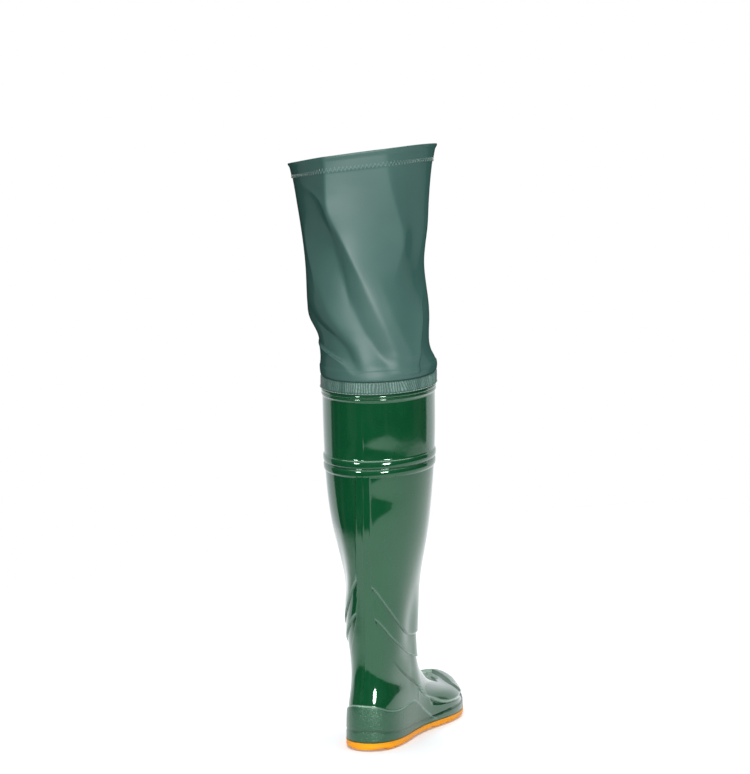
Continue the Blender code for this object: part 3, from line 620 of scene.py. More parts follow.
def outsole_surface(share, ring):
    """The sole's skin: ring 0 to 1 runs from the outer top edge down the wall, across under the foot and up
    again. Under it the height is the floor plus the groove's depth where no lug is, and lugs bow forwards."""
    place, middle, half = (part[:, None] for part in sole_outline(share, SOLE_MARGIN))
    across = np.interp(ring, (0, 0.14, 0.86, 1), (1, 1, -1, -1))
    down = np.interp(ring, (0, 0.11, 0.155, 0.845, 0.89, 1), (0, WALL_FOOT, 1, 1, WALL_FOOT, 0))
    inset = np.interp(ring, (0, 0.11, 0.155, 0.5, 0.845, 0.89, 1), (0, 0, 1, 0, 1, 0, 0))
    bevel = np.minimum(SOLE_BEVEL, half * 0.5) * inset * np.sign(across) * (np.abs(across) > 0.93)
    bow = LUG_BOW * np.sin(np.pi * share)[:, None] * (1 - np.abs(across) ** 1.8)
    arch = soft_step(place / FOOT_LENGTH, 0.30, 0.33) * soft_drop(place / FOOT_LENGTH, 0.43, 0.46)
    groove = LUG_DEPTH * (1 - 0.4 * soft_step(np.abs(across), 0.80, 0.97))
    floor = toe_spring(place) + (1 - lug_cover(place)) * groove + arch * (ARCH_RISE - groove)
    top = sole_top(place)
    waist = SOLE_WAIST * np.sin(np.pi * np.clip(down / WALL_FOOT, 0, 1))
    waist = waist * np.sign(across) * (down < WALL_FOOT)
    x = middle + across * half - bevel - waist
    return np.stack([x, place + bow * down, top + (floor - top) * down], -1)


def welded_piece(name, points, faces, finish):
    """A closed piece of points and faces: points that coincide are welded and the faces turned outwards."""
    mesh = bpy.data.meshes.new(name)
    mesh.from_pydata(points.reshape(-1, 3).tolist(), [], faces)
    work = bmesh.new()
    work.from_mesh(mesh)
    bmesh.ops.remove_doubles(work, verts=work.verts, dist=WELD)
    bmesh.ops.recalc_face_normals(work, faces=work.faces)
    work.to_mesh(mesh)
    work.free()
    mesh.materials.append(finish)
    mesh.shade_smooth()
    return put_in_scene(name, mesh)


def strip_piece(name, points, finish):
    """A solid from sections that are each closed over their top and shrink to nothing at both ends: quads
    along the grid, welded at the ends, with sharp edges where the faces turn."""
    rows, columns = points.shape[:2]
    index = np.pad(np.arange(rows * columns).reshape(rows, columns), ((0, 0), (0, 1)), mode="wrap")
    made = welded_piece(name, points, grid_corners(index).reshape(-1, 4).tolist(), finish)
    made.data.set_sharp_from_angle(angle=np.radians(SHARP_ANGLE))
    return made


# Tough PVC in warm orange, from a sand-blasted mould: half matt, with faint flow marks 25 mm across, dark
# specks of dirt in the skin, 7 mm apart, and a little grime along the ground. The grit is drawn at 1.2 mm.
def orange_pvc():
    finish, tree, shader = new_finish("sole_pvc_orange", {"IOR": 1.53, "Specular IOR Level": 0.25})
    place = add_node(tree, "TexCoord", out="Object")
    flow = add_node(tree, "TexNoise", {"Vector": place, "Scale": 1 / 0.025, "Detail": 3.0})
    colour = add_node(tree, "Mix", {"Factor": flow, "A": linear("#DA8400"), "B": linear("#E69A04")},
                      data_type="RGBA")
    spots = add_node(tree, "TexVoronoi", {"Vector": place, "Scale": 1 / 0.007, "Randomness": 1.0},
                     out="Distance")
    speck = add_node(tree, "MapRange", {"Value": spots, "From Min": 0.06, "From Max": 0.10,
                                        "To Min": 0.6, "To Max": 0.0})
    height = add_node(tree, "SeparateXYZ", {"Vector": place}, out="Z")
    grime = add_node(tree, "MapRange", {"Value": height, "From Min": 0.0, "From Max": 0.0035,
                                        "To Min": 0.45, "To Max": 0.0})
    for amount, code in ((speck, "#A85E08"), (grime, "#C97D06")):
        colour = add_node(tree, "Mix", {"Factor": amount, "A": colour, "B": linear(code)}, data_type="RGBA")
    grit = add_node(tree, "TexNoise", {"Vector": place, "Scale": 1 / 0.0012, "Detail": 2.0})
    rough = add_node(tree, "MapRange", {"Value": flow, "From Min": 0.3, "From Max": 0.7,
                                        "To Min": 0.40, "To Max": 0.55})
    bump = add_node(tree, "Bump", {"Height": grit, "Strength": 0.35, "Distance": 0.0003})
    set_inputs(tree, shader, {"Base Color": colour, "Roughness": rough, "Normal": bump})
    return finish


# Stations crowd at the heel and toe, where the outline turns, and are even between, where the lugs are.
SOLE_ENDS, SOLE_STATIONS = 80, 340
sole_share = (1 - np.cos(np.linspace(0, np.pi, SOLE_ENDS))) / 2
sole_share = np.unique(np.concatenate([sole_share, np.linspace(0.02, 0.98, SOLE_STATIONS)]))
sole_ring = np.unique(np.concatenate([
    np.linspace(0, 0.16, 12), np.linspace(0.16, 0.84, 40), np.linspace(0.84, 1, 12),
]))
outsole = strip_piece("outsole_lugged", outsole_surface(sole_share, sole_ring) - HEEL_SHIFT, orange_pvc())
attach(outsole, "root")
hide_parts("outsole")


# The insole is a loose sock of knitted cloth over thin foam. It is cut to the last's bottom and lies on the
# outsole inside the upper.

INSOLE_THICKNESS = 0.004
INSOLE_GAP = 0.0008
INSOLE_STATIONS, INSOLE_RING = 140, 40


def insole_surface(share, ring):
    """A low pad: across it runs as the cosine of the ring angle and up as the sine, both raised to a small
    power so that the faces are flat and the rim is round."""
    place, middle, half = (part[:, None] for part in sole_outline(share, -UPPER_WALL - INSOLE_GAP))
    angle = ring * 2 * np.pi
    across = np.sign(np.cos(angle)) * np.abs(np.cos(angle)) ** 0.25
    up = (1 + np.sign(np.sin(angle)) * np.abs(np.sin(angle)) ** 0.35) / 2
    height = sole_top(place) + SEAT_GAP + INSOLE_THICKNESS * up
    return np.stack([middle + half * across, np.repeat(place, len(ring), 1), height], -1)


# Grey knitted sock cloth: matt, with a fine cross weave, drawn at 1.5 mm so that it shows.
sock_cloth = matt_cloth(
    "sock_cloth_grey", rough=0.92, sheen=0.25, by_length=False, across=(0.0015, 0.8), along=(0.0015, 0.8),
    hollow_shade="#3C4441", crown_light="#66706C", strength=0.5, height=0.0004,
)
insole_share = (1 - np.cos(np.linspace(0, np.pi, INSOLE_STATIONS))) / 2
insole_points = insole_surface(insole_share, np.arange(INSOLE_RING) / INSOLE_RING) - HEEL_SHIFT
insole = strip_piece("insole_sock", insole_points, sock_cloth)
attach(insole, "root")
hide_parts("insole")


# The gathered band is the lower edge of the leg's cloth, drawn up on an elastic thread and sewn round the
# flange above the rim beads. The gathers stand upright at the back and lean on the outer side.

BAND_FOOT = FLANGE_FOOT + 0.0004
BAND_TOP = FLANGE_TOP
BAND_INSIDE = FLANGE_WALL - UPPER_WALL + SEAT_GAP
BAND_BODY = 0.0019
BAND_RADIUS = 0.067
BAND_INNER_ROWS = 4
ROLL_LIFT = 0.0006
EDGE_ROUNDING = 0.0010
GATHER_LIFT = 0.0011
GATHERS = 132
GATHER_COLUMNS = 7


def outward_level(points):
    """Level unit normals of level loops: the way round turned by a right angle."""
    way = np.roll(points, -1, axis=1) - np.roll(points, 1, axis=1)
    normal = np.stack([way[..., 1], -way[..., 0], np.zeros(points.shape[:2])], -1)
    return normal / np.linalg.norm(normal, axis=-1, keepdims=True)


def band_surface(height, turn, grow):
    """The shaft's own loop at heights above the rim, grown level by a thickness and tilted with the rim."""
    base = last_surface(shaft_level(height), turn)
    made = base + outward_level(base) * grow[..., None]
    made[..., 2] = height[:, None] + rim_tilt(made[..., 1])
    return made


def gathers(share, turn):
    """Height of the gathers, 0 to 1: upright folds whose spacing and depth wander with slow sines, leaning
    where the cloth was pulled on the outer side, and low where the band's ends overlap on the inner side."""
    bearing = np.degrees(signed(turn, 2 * np.pi))[None, :]
    share = share[:, None]
    lean = 7.5 * bell(bearing - 64, 24) - 4.0 * bell(bearing + 30, 14)
    wander = 0.9 * np.sin(5 * turn + 1.0) + 0.6 * np.sin(11 * turn) + 0.5 * np.sin(23 * turn + 2.0)
    sway = 0.35 * np.sin(6 * share + 17 * turn[None, :])
    phase = GATHERS * turn / 2 + wander[None, :] + lean * (share - 0.5) + sway
    depth = 0.72 + 0.22 * np.sin(9 * turn + 0.6)[None, :] + 0.16 * np.sin(31 * turn)[None, :]
    quiet = 1 - 0.6 * bell(bearing + 50, 22)
    ends = soft_step(share, 0.10, 0.22) * soft_drop(share, 0.86, 0.98)
    return np.abs(np.cos(phase)) ** 0.9 * np.clip(depth, 0.25, 1.0) * quiet * ends


# PVC-coated polyester cloth, drawn into gathers, with satin gloss: the crests are paler, crazing of the
# coating with painted light on it, and the valleys are darker with painted shade. The crazing is drawn at 1.6
# mm so that it shows.
def gathered_cloth():
    finish, tree, shader = new_finish("coated_cloth_gathered", {"IOR": 1.5, "Specular IOR Level": 0.4})
    crest = add_node(tree, "Attribute", out="Fac", attribute_name="crest")
    place = add_node(tree, "TexCoord", out="Object")
    fleck = add_node(tree, "TexNoise", {"Vector": place, "Scale": 1 / 0.0016, "Detail": 2.0})
    # The crests pale with crazing and painted light, and where the crest is low the valleys take painted shade
    lift = add_node(tree, "Math", {0: crest, 1: fleck}, operation="MULTIPLY")
    lift = add_node(tree, "Math", {0: lift, 1: 1.35}, operation="MULTIPLY", use_clamp=True)
    colour = add_node(tree, "Mix", {"Factor": lift, "A": linear("#26463F"), "B": linear("#6E897F")},
                      data_type="RGBA")
    rough = add_node(tree, "MapRange", {"Value": fleck, "To Min": 0.42, "To Max": 0.62})
    bump = add_node(tree, "Bump", {"Height": fleck, "Strength": 0.4, "Distance": 0.0004})
    set_inputs(tree, shader, {"Base Color": colour, "Roughness": rough, "Normal": bump})
    return finish


band_turn = np.arange(GATHERS * GATHER_COLUMNS) * 2 * np.pi / (GATHERS * GATHER_COLUMNS)
band_share = np.concatenate([[0, 0.03, 0.07, 0.10], np.linspace(0.13, 0.88, 18), [0.92, 0.96, 1.0]])
band_heights = BAND_FOOT + band_share * (BAND_TOP - BAND_FOOT)
band_crest = gathers(band_share, band_turn)
rolled = ROLL_LIFT * bell(band_share - 0.055, 0.035)[:, None]
from_edge = np.clip(np.minimum(band_share, 1 - band_share) / 0.06, 0, 1)
rounded = EDGE_ROUNDING * (1 - np.sqrt(np.clip(1 - (1 - from_edge) ** 2, 0, 1)))
band_grow = BAND_INSIDE + BAND_BODY + rolled - rounded[:, None] + GATHER_LIFT * band_crest
band_outside = band_surface(band_heights, band_turn, band_grow)
band_inner_heights = np.linspace(BAND_FOOT, BAND_TOP, BAND_INNER_ROWS)
band_inner_shape = (BAND_INNER_ROWS, len(band_turn))
band_inside = band_surface(band_inner_heights, band_turn, np.full(band_inner_shape, BAND_INSIDE))
# The crests of the gathers and the rolled edge, marked for crazing and painted light in the colour
band_crazing_and_light = np.clip(band_crest + 0.5 * rolled / ROLL_LIFT, 0, 1)
gathered_band = tube_piece(
    "gathered_band_cloth", np.concatenate([band_outside, band_inside[::-1]]) - HEEL_SHIFT,
    band_turn, BAND_RADIUS, np.concatenate([band_heights, band_inner_heights[::-1], [BAND_FOOT]]),
    len(band_heights) + len(band_inner_heights), [gathered_cloth()],
    {"crest": np.concatenate([band_crazing_and_light, np.zeros(band_inner_shape)])},
)
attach(gathered_band, "root")
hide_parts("gathered_band")


# The leg is one panel of PVC-coated polyester, welded into a tube. Its foot is doubled into a strip over the
# gathered band, its mouth is turned down into a hem, and worn cloth falls in long soft folds between them.

LEG_TOP = 0.6550
MOUTH_TILT = 0.145
LEG_WIDTH = 0.124
LEG_DEPTH = 0.148
LEG_RADIUS = 0.072
CLOTH_WALL = 0.0009
HEM_LIFT = 0.0006
HEM_START = 0.930
MOUTH_FLARE = 0.0016
LIP_ROUNDING = 0.0008
STRIP_END = 0.046
# Loops of the leg: height share, shift to the side and to the front, width and depth shares
LEG_LOOPS = {
    "strip_foot": (0.000, 0.0000, 0.000, 1.000, 1.000),
    "strip_top": (0.046, -0.0010, 0.000, 1.002, 1.003),
    "tuck": (0.082, -0.0030, 0.000, 0.955, 0.990),
    "over_tuck": (0.160, -0.0060, 0.001, 0.945, 0.990),
    "below_knee": (0.290, -0.0125, 0.003, 1.035, 1.030),
    "knee": (0.430, -0.0165, 0.004, 1.035, 1.050),
    "above_knee": (0.640, -0.0180, 0.002, 1.095, 1.060),
    "thigh": (0.850, -0.0190, -0.001, 1.190, 1.100),
    "hem_foot": (0.930, -0.0190, -0.002, 1.235, 1.130),
    "mouth": (1.000, -0.0190, -0.002, 1.290, 1.160),
}
# Broad forms: bearing from the back, height share, half widths in degrees and shares, slant, depth
BROAD_FOLDS = {
    "inner_tuck": (-98, 0.13, 26, 0.045, -60, -0.0040),
    "inner_roll": (-92, 0.255, 34, 0.070, -60, 0.0060),
    "outer_hollow": (88, 0.44, 24, 0.130, 0, -0.0040),
    "front_hollow": (172, 0.42, 34, 0.110, 0, -0.0045),
    "front_ridge": (150, 0.24, 16, 0.120, -40, 0.0030),
}
# Creases: heights in millimetres and bearings in degrees down the line, how far the cloth slopes away on the
# inner and the outer side, depth and roundness of the crest, each at the line's top and foot, in millimetres,
# and how far the cloth laps over itself
CREASES = {
    "panel_ridge": (((700, -20), (630, -19), (590, -18), (565, -12), (500, 9), (435, 32), (412, 38)),
                    22, 36, (8.0, 9.0), (0.7, 3.0), 0),
    "back_trough": (((600, -28), (565, -21), (530, -15), (500, -7), (465, 5), (430, 23), (414, 30)),
                    22, 14, (-5.0, -8.0), (1.5, 3.0), 0),
    "sharp_line": (((555, -15), (520, -11), (485, -6)), 10, 4, (-1.6, -1.6), (0.4, 0.4), 0),
    "inner_ridge": (((530, -40), (500, -29), (465, -14), (445, -2), (420, 7)),
                    12, 16, (5.0, 5.0), (3.0, 3.0), 0),
    "inner_trough": (((495, -56), (465, -35), (455, -20), (445, -10), (420, 1)),
                     14, 9, (-5.5, -5.5), (2.0, 2.0), 0),
    "ridge_outer": (((535, 13), (500, 23), (465, 34), (440, 44), (412, 47)),
                    10, 16, (3.0, 3.5), (2.5, 2.5), 0),
    "panel_outer": (((700, 24), (610, 29), (585, 37), (565, 42), (530, 34), (512, 28)),
                    12, 14, (1.6, 1.6), (4.0, 4.0), 0),
    "thigh_arc": (((625, -50), (615, -33), (605, -24), (590, -20), (570, -18)),
                  5, 9, (3.0, 3.0), (0.8, 0.8), 0),
    "inner_side": (((590, -56), (565, -55), (520, -40), (498, -36)), 8, 13, (3.2, 3.2), (1.2, 1.2), 0),
    "notch_lap": (((456, -78), (444, -40), (430, -13), (416, -3)), 6, 10, (3.0, 3.0), (1.2, 1.2), 3.8),
    "outer_lap": (((512, 118), (492, 80), (480, 71), (455, 61), (437, 57), (418, 57)),
                  16, 5, (4.0, 4.0), (0.8, 0.8), 2.8),
    "front_knee_a": (((560, 150), (520, 175), (480, 215)), 14, 15, (-4.2, -4.2), (3.0, 3.0), 0),
    "front_knee_b": (((540, 140), (495, 165), (450, 205)), 13, 14, (3.8, 3.8), (2.0, 2.0), 0),
    "front_low": (((470, 130), (445, 160), (415, 200)), 11, 11, (-3.2, -3.2), (2.0, 2.0), 0),
    "front_thigh": (((620, 190), (590, 170), (560, 140)), 18, 18, (2.6, 2.6), (4.0, 4.0), 0),
}
# How a crease ends, in millimetres: a line that reaches the strip stops short there, any other fades out
CREASE_END, STRIP_FADE, STRIP_REACH = 4, 8, 425
LONGEST_FADE, FADE_SHARE = 50, 0.45
LAP_PULL, LAP_STEP, LAP_EDGE, LAP_REACH = 2.3, 0.55, 2.2, 2.4
# Flat faces, pressed while the leg lay folded in its box: bearings of their two edges, given as the name of a
# crease or in degrees, depth in millimetres, and how softly they start at either edge
FACES = ((-84, "panel_ridge", 7.0, 2, 1), ("panel_ridge", "panel_outer", 5.0, 1, 1.2),
         ("panel_outer", 112, 4.0, 1.3, 2))
FACE_FOOT, FACE_FULL = 505, 570
# The axis from which creases take their bearings, and the radius in millimetres that makes lengths of them
AXIS_Y = 0.030
CREASE_RADIUS = 62


def leg_surface(share, turn):
    """Loops of the leg: an ellipse at each height share, shifted, tilted so that the outer side of the mouth
    is higher, with the rim's tilt fading upwards and the broad folds pushed in or out as soft bells."""
    rows = np.array(list(LEG_LOOPS.values()))
    shift_x, shift_y, width, depth = spline(rows[:, 0], rows[:, 1:], share).T[:, :, None]
    axis_y = (RIM_BACK + RIM_FRONT) / 2
    x = np.sin(turn) * width * LEG_WIDTH / 2
    y = -np.cos(turn) * depth * LEG_DEPTH / 2
    foot = FLANGE_TOP + SEAT_GAP
    up = share[:, None]
    z = foot + up * (LEG_TOP - foot) + MOUTH_TILT * up**2 * x + (1 - up) * rim_tilt(y + axis_y)
    points = np.stack([x + shift_x + LOOPS[-1, HEEL_SWING], y + shift_y + axis_y, z], -1)
    bearing = np.degrees(signed(turn, 2 * np.pi))[None, :]
    moved = np.zeros(points.shape[:2])
    for middle, level, span, run, slant, lift in BROAD_FOLDS.values():
        away = signed(bearing - middle - slant * (up - level))
        moved += lift * np.exp(-((away / span) ** 2) - ((up - level) / run) ** 2)
    held = soft_step(up, STRIP_END, STRIP_END + 0.06) * soft_drop(up, HEM_START - 0.10, HEM_START)
    return points + outward_level(points) * (moved * held)[..., None]


def creased(points, share):
    """Adds the creases. Each line is a cubic of bearing against height through its points; off it the depth
    falls as exp(-distance / slope) with a rounded crest, and a lap draws the cloth to the line from both sides
    while one side stands out and the other sinks in. A face sinks as s^p (1 - s)^q from edge to edge."""
    x, y, z = points[..., 0], points[..., 1] - HEEL_BACK, points[..., 2] * 1000
    bearing = np.degrees(np.arctan2(x, AXIS_Y - y)) % 360
    up = share[:, None]
    held = 0.35 * soft_step(up, 0.004, 0.035) + 0.65 * soft_step(up, STRIP_END - 0.004, STRIP_END + 0.070)
    held = held * (1 - 0.4 * soft_step(up, 0.84, 1.0))
    out, sideways, upwards = np.zeros((3,) + z.shape)
    edges = {}
    for name, (line, inner, outer, depths, crests, lap) in CREASES.items():
        heights, bearings = np.array(line[::-1], float).T
        low, high = heights[0], heights[-1]
        inside = np.clip(z, low, high)
        edges[name] = spline(heights, bearings, inside)
        crest, depth = (np.interp(z, (low, high), ends[::-1]) for ends in (crests, depths))
        away = signed(bearing - edges[name])
        lead = spline(heights, bearings, inside + 1) - spline(heights, bearings, inside - 1)
        slope = np.radians(lead / 2) * CREASE_RADIUS
        lean = 1 / np.hypot(1, slope)
        off = np.radians(away) * CREASE_RADIUS * lean
        run = min((high - low) * FADE_SHARE, LONGEST_FADE)
        foot = STRIP_FADE if low < STRIP_REACH else run
        window = soft_step(z, low - CREASE_END, low + foot)
        window = window * soft_drop(z, high - run, high + CREASE_END) * held
        out += depth * np.exp(-(np.hypot(off, crest) - crest) / np.where(off < 0, inner, outer)) * window
        if lap:
            pull = lap * LAP_PULL * (off / outer) * bell(off, outer) * window
            sideways -= pull * lean
            upwards += pull * lean * slope
            out += lap * LAP_STEP * np.tanh(-off / LAP_EDGE) * bell(off, LAP_REACH * outer) * window
    from_back = signed(bearing)
    for start, end, depth, p, q in FACES:
        start, end = edges.get(start, start), edges.get(end, end)
        s = np.clip((from_back - start) / (end - start), 0, 1)
        full = p**p * q**q / (p + q) ** (p + q)
        out -= depth / full * s**p * (1 - s) ** q * soft_step(z, FACE_FOOT, FACE_FULL) * held
    way = np.stack([np.cos(np.radians(bearing)), np.sin(np.radians(bearing)), np.zeros(z.shape)], -1)
    moved = points + outward_level(points) * out[..., None] / 1000 + way * sideways[..., None] / 1000
    moved[..., 2] += upwards / 1000
    return moved


# Polyester cloth with a calendered PVC face: sea green, satin, nearly smooth, with its gloss where it faces
# the eye. The base weave telegraphs through as a very fine grain, drawn at 1.4 mm where the real is 0.6 mm.
def coated_cloth():
    finish, tree, shader = new_finish("coated_cloth_satin", {"IOR": 1.5, "Specular IOR Level": 0.3})
    lengths = add_node(tree, "UVMap", uv_map="cloth_lengths")
    place = add_node(tree, "TexCoord", out="Object")
    # Clouding of the coating, 45 mm across, and ripples of 22 mm
    cloud = add_node(tree, "TexNoise", {"Vector": place, "Scale": 1 / 0.045, "Detail": 4.0})
    colour = add_node(tree, "Mix", {"Factor": cloud, "A": linear("#314F49"), "B": linear("#395953")},
                      data_type="RGBA")
    grain = cross_weave(tree, lengths, (0.0014, 0.4), (0.0014, 0.4))
    rough = add_node(tree, "MapRange", {"Value": cloud, "From Min": 0.3, "From Max": 0.7,
                                        "To Min": 0.50, "To Max": 0.58})
    ripple = add_node(tree, "TexNoise", {"Vector": place, "Scale": 1 / 0.022, "Detail": 2.0})
    soft = add_node(tree, "Bump", {"Height": ripple, "Strength": 0.12, "Distance": 0.002})
    bump = add_node(tree, "Bump", {"Height": grain, "Strength": 0.10, "Distance": 0.0002, "Normal": soft})
    facing = add_node(tree, "LayerWeight", {"Blend": 0.5}, out="Facing")
    satin = add_node(tree, "MapRange", {"Value": facing, "From Min": 0.20, "From Max": 0.62,
                                        "To Min": 0.45, "To Max": 0.0})
    set_inputs(tree, shader, {"Base Color": colour, "Roughness": rough, "Specular IOR Level": satin,
                              "Normal": bump})
    return finish


# The uncoated back of the same cloth: matt, paler, plainly woven, drawn at 1.8 mm so that it shows.
cloth_back = matt_cloth(
    "polyester_cloth_back", rough=0.88, sheen=0.2, by_length=True, across=(0.0018, 0.5), along=(0.0018, 0.5),
    hollow_shade="#4E776B", crown_light="#86A79C", strength=0.5, height=0.0004,
)


def leg_wall(share, turn, offset):
    """The creased leg, flared at its mouth and grown along its normals by an offset at each height share."""
    points = creased(leg_surface(share, turn), share)
    flare = MOUTH_FLARE * soft_step(share, 0.975, 1.0)
    return points + outward(points) * (offset + flare)[:, None, None]


LEG_COLUMNS = 300
leg_turn = np.arange(LEG_COLUMNS) * 2 * np.pi / LEG_COLUMNS
hem_lip = HEM_START - 0.002
leg_share = np.concatenate([
    [0.0, 0.002, 0.006], np.linspace(0.010, STRIP_END, 12), np.linspace(0.050, hem_lip - 0.004, 196),
    [hem_lip, HEM_START, HEM_START + 0.002], np.linspace(HEM_START + 0.006, 0.985, 12), [0.992, 0.997, 1.0],
])
leg_inner_share = np.concatenate([
    np.linspace(0, 0.05, 6), np.linspace(0.055, HEM_START, 84)[1:], [0.96, 0.985, 1.0],
])
strip_lift = HEM_LIFT * soft_drop(leg_share, STRIP_END - 0.004, STRIP_END + 0.004)
hem_lift = HEM_LIFT * soft_step(leg_share, hem_lip - 0.006, HEM_START + 0.002)
lip_round = LIP_ROUNDING * (soft_step(leg_share, 0.993, 1.0) ** 2 + soft_drop(leg_share, 0.0, 0.006))
leg_outside = leg_wall(leg_share, leg_turn, strip_lift + hem_lift - lip_round)
leg_inside = leg_wall(leg_inner_share, leg_turn, np.full(len(leg_inner_share), -CLOTH_WALL))
thigh_leg = tube_piece(
    "thigh_leg_cloth", np.concatenate([leg_outside, leg_inside[::-1]]) - HEEL_SHIFT, leg_turn, LEG_RADIUS,
    np.concatenate([leg_share, leg_inner_share[::-1], [0.0]]) * (LEG_TOP - FLANGE_TOP),
    len(leg_share), [coated_cloth(), cloth_back],
)
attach(thigh_leg, "root")
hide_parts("thigh_leg")


# Polyester sewing thread, pale green: a zigzag that holds the turned hem, and a row of short stitches that
# holds the gathered band to the flange.

THREAD_RADIUS = 0.00023
THREAD_SIDES = 5
ZIGZAGS = 116
ZIGZAG_HALF = 0.0025
HEM_STITCH_SHARE = HEM_START + 0.007
BAND_STITCHES = 104
BAND_STITCH_HEIGHT = BAND_FOOT + 0.0013


def thread_piece(name, paths, normals, radius, closed, finish):
    """Threads as five-sided tubes: each ring stands on its path's normal and the cross product of the path's
    direction with it. Open ends draw in nearly to a point."""
    count, length = paths.shape[:2]
    ahead = np.roll(paths, -1, axis=1) - np.roll(paths, 1, axis=1)
    thick = np.full(length, radius)
    if not closed:
        ahead[:, 0], ahead[:, -1] = paths[:, 1] - paths[:, 0], paths[:, -1] - paths[:, -2]
        thick[[0, -1]] = radius * 0.25
    ahead = ahead / np.linalg.norm(ahead, axis=-1, keepdims=True)
    across = np.cross(ahead, normals)
    across = across / np.linalg.norm(across, axis=-1, keepdims=True)
    angle = np.arange(THREAD_SIDES) * 2 * np.pi / THREAD_SIDES
    ring = np.cos(angle)[:, None] * normals[:, :, None] + np.sin(angle)[:, None] * across[:, :, None]
    points = paths[:, :, None] + ring * thick[None, :, None, None]
    index = np.arange(count * length * THREAD_SIDES).reshape(count, length, THREAD_SIDES)
    along = np.concatenate([index, index[:, :1]], 1) if closed else index
    turned = np.roll(along, -1, axis=2)
    faces = np.stack([along[:, :-1], along[:, 1:], turned[:, 1:], turned[:, :-1]], -1).reshape(-1, 4).tolist()
    if not closed:
        faces += index[:, 0].tolist() + index[:, -1, ::-1].tolist()
    return welded_piece(name, points, faces, finish)


# Twisted polyester thread: pale, slightly shiny, with the twist as a fine slant 0.6 mm apart.
def sewing_thread():
    finish, tree, shader = new_finish("polyester_thread_pale", {"Roughness": 0.5, "Sheen Weight": 0.3})
    place = add_node(tree, "TexCoord", out="Object")
    twist = add_node(tree, "TexWave", {"Vector": place, "Scale": 1 / 0.0006 * np.pi / 10}, out="Fac",
                     wave_type="BANDS", bands_direction="DIAGONAL")
    colour = add_node(tree, "Mix", {"Factor": twist, "A": linear("#647F76"), "B": linear("#86A097")},
                      data_type="RGBA")
    set_inputs(tree, shader, {"Base Color": colour})
    return finish


thread = sewing_thread()
zig_turn = np.arange(2 * ZIGZAGS) * np.pi / ZIGZAGS
zig_shares = HEM_STITCH_SHARE + np.array([-0.003, 0, 0.003])
zig_base = creased(leg_surface(zig_shares, zig_turn), zig_shares)
zig_normal = outward(zig_base)[1]
zig_path = zig_base[1] + zig_normal * (HEM_LIFT + THREAD_RADIUS * 0.6)
zig_path[:, 2] += np.where(np.arange(2 * ZIGZAGS) % 2, ZIGZAG_HALF, -ZIGZAG_HALF)
hem_stitch = thread_piece("hem_zigzag_stitch", zig_path[None] - HEEL_SHIFT, zig_normal[None],
                          THREAD_RADIUS, True, thread)
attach(hem_stitch, "root")

# One stitch: places along it as shares of the pitch, and how far each stands over the band's rolled edge
stitch_shares = np.array([0.0, 0.12, 0.36, 0.60, 0.72])
stitch_lift = np.array([-0.0006, 0.0002, 0.0005, 0.0002, -0.0006])
stitch_turn = (np.arange(BAND_STITCHES)[:, None] + stitch_shares) * 2 * np.pi / BAND_STITCHES
stitch_heights = BAND_STITCH_HEIGHT + np.array([0.0, 0.001])
stitch_grow = np.full((2, stitch_turn.size), BAND_INSIDE + BAND_BODY + ROLL_LIFT)
stitch_base = band_surface(stitch_heights, stitch_turn.ravel(), stitch_grow)
stitch_normal = outward_level(stitch_base)[0].reshape(stitch_turn.shape + (3,))
stitch_path = stitch_base[0].reshape(stitch_normal.shape) + stitch_normal * stitch_lift[None, :, None]
band_stitch = thread_piece("band_running_stitch", stitch_path - HEEL_SHIFT, stitch_normal,
                           THREAD_RADIUS * 1.2, False, thread)
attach(band_stitch, "root")


# The studio: a white floor that fades out round the boot, a white backdrop in front of the toe and a dark
# room behind the camera. Two soft lamps light the PVC pieces and the insole alone, a third lights the cloth
# and its stitching alone, and a broad one overhead lights all.

FLOOR_REACH = 1.5
FLOOR_MIDDLE = (0.80, 0.55, 0.0)
FLOOR_RINGS, FLOOR_SPOKES = 23, 96
CAMERA_AZIMUTH = 20.5
BACKDROP_AZIMUTH = 23.5
CAMERA_AWAY = 3.1
CAMERA_HEIGHT = 0.75
CAMERA_AIM = (-0.008, 0.027, 0.397)
FOCAL_LENGTH = 131.1
SENSOR_WIDTH = 36.0
LEG_AXIS = 0.03
LAMP_AIM = (0, LEG_AXIS, 0.33)


def round_floor():
    """A flat disc of rings whose radius grows evenly, with the innermost one filled."""
    turn = np.arange(FLOOR_SPOKES) * 2 * np.pi / FLOOR_SPOKES
    radius = np.linspace(0.0, FLOOR_REACH * 1.1, FLOOR_RINGS + 1)[1:, None]
    level = np.zeros((FLOOR_RINGS, FLOOR_SPOKES))
    points = np.stack([radius * np.cos(turn), radius * np.sin(turn), level], -1) + FLOOR_MIDDLE
    index = np.arange(FLOOR_RINGS * FLOOR_SPOKES).reshape(FLOOR_RINGS, FLOOR_SPOKES)
    turned = np.roll(index, -1, axis=1)
    quads = np.stack([index[:-1], index[1:], turned[1:], turned[:-1]], -1).reshape(-1, 4).tolist()
    mesh = bpy.data.meshes.new("studio_floor")
    mesh.from_pydata(points.reshape(-1, 3).tolist(), [], quads + [index[0].tolist()])
    return put_in_scene("studio_floor", mesh)


# White background paper: matt, lit a little from within so that it stays white, and clear past its edge.
def floor_paper():
    finish, tree, shader = new_finish("white_paper_floor", {
        "Base Color": linear("#F1F4F8"), "Roughness": 0.8, "Specular IOR Level": 0.2,
        "Emission Strength": 0.24, "Emission Color": linear("#FFFFFF"),
    })
    place = add_node(tree, "TexCoord", out="Object")
    away = add_node(tree, "VectorMath", {0: place, 1: FLOOR_MIDDLE}, out="Value", operation="DISTANCE")
    solid = add_node(tree, "MapRange", {"Value": away, "From Min": FLOOR_REACH * 0.94,
                                        "From Max": FLOOR_REACH * 1.06, "To Min": 1.0, "To Max": 0.0},
                     interpolation_type="SMOOTHSTEP")
    set_inputs(tree, shader, {"Alpha": solid})
    return finish


floor = round_floor()
floor.data.materials.append(floor_paper())

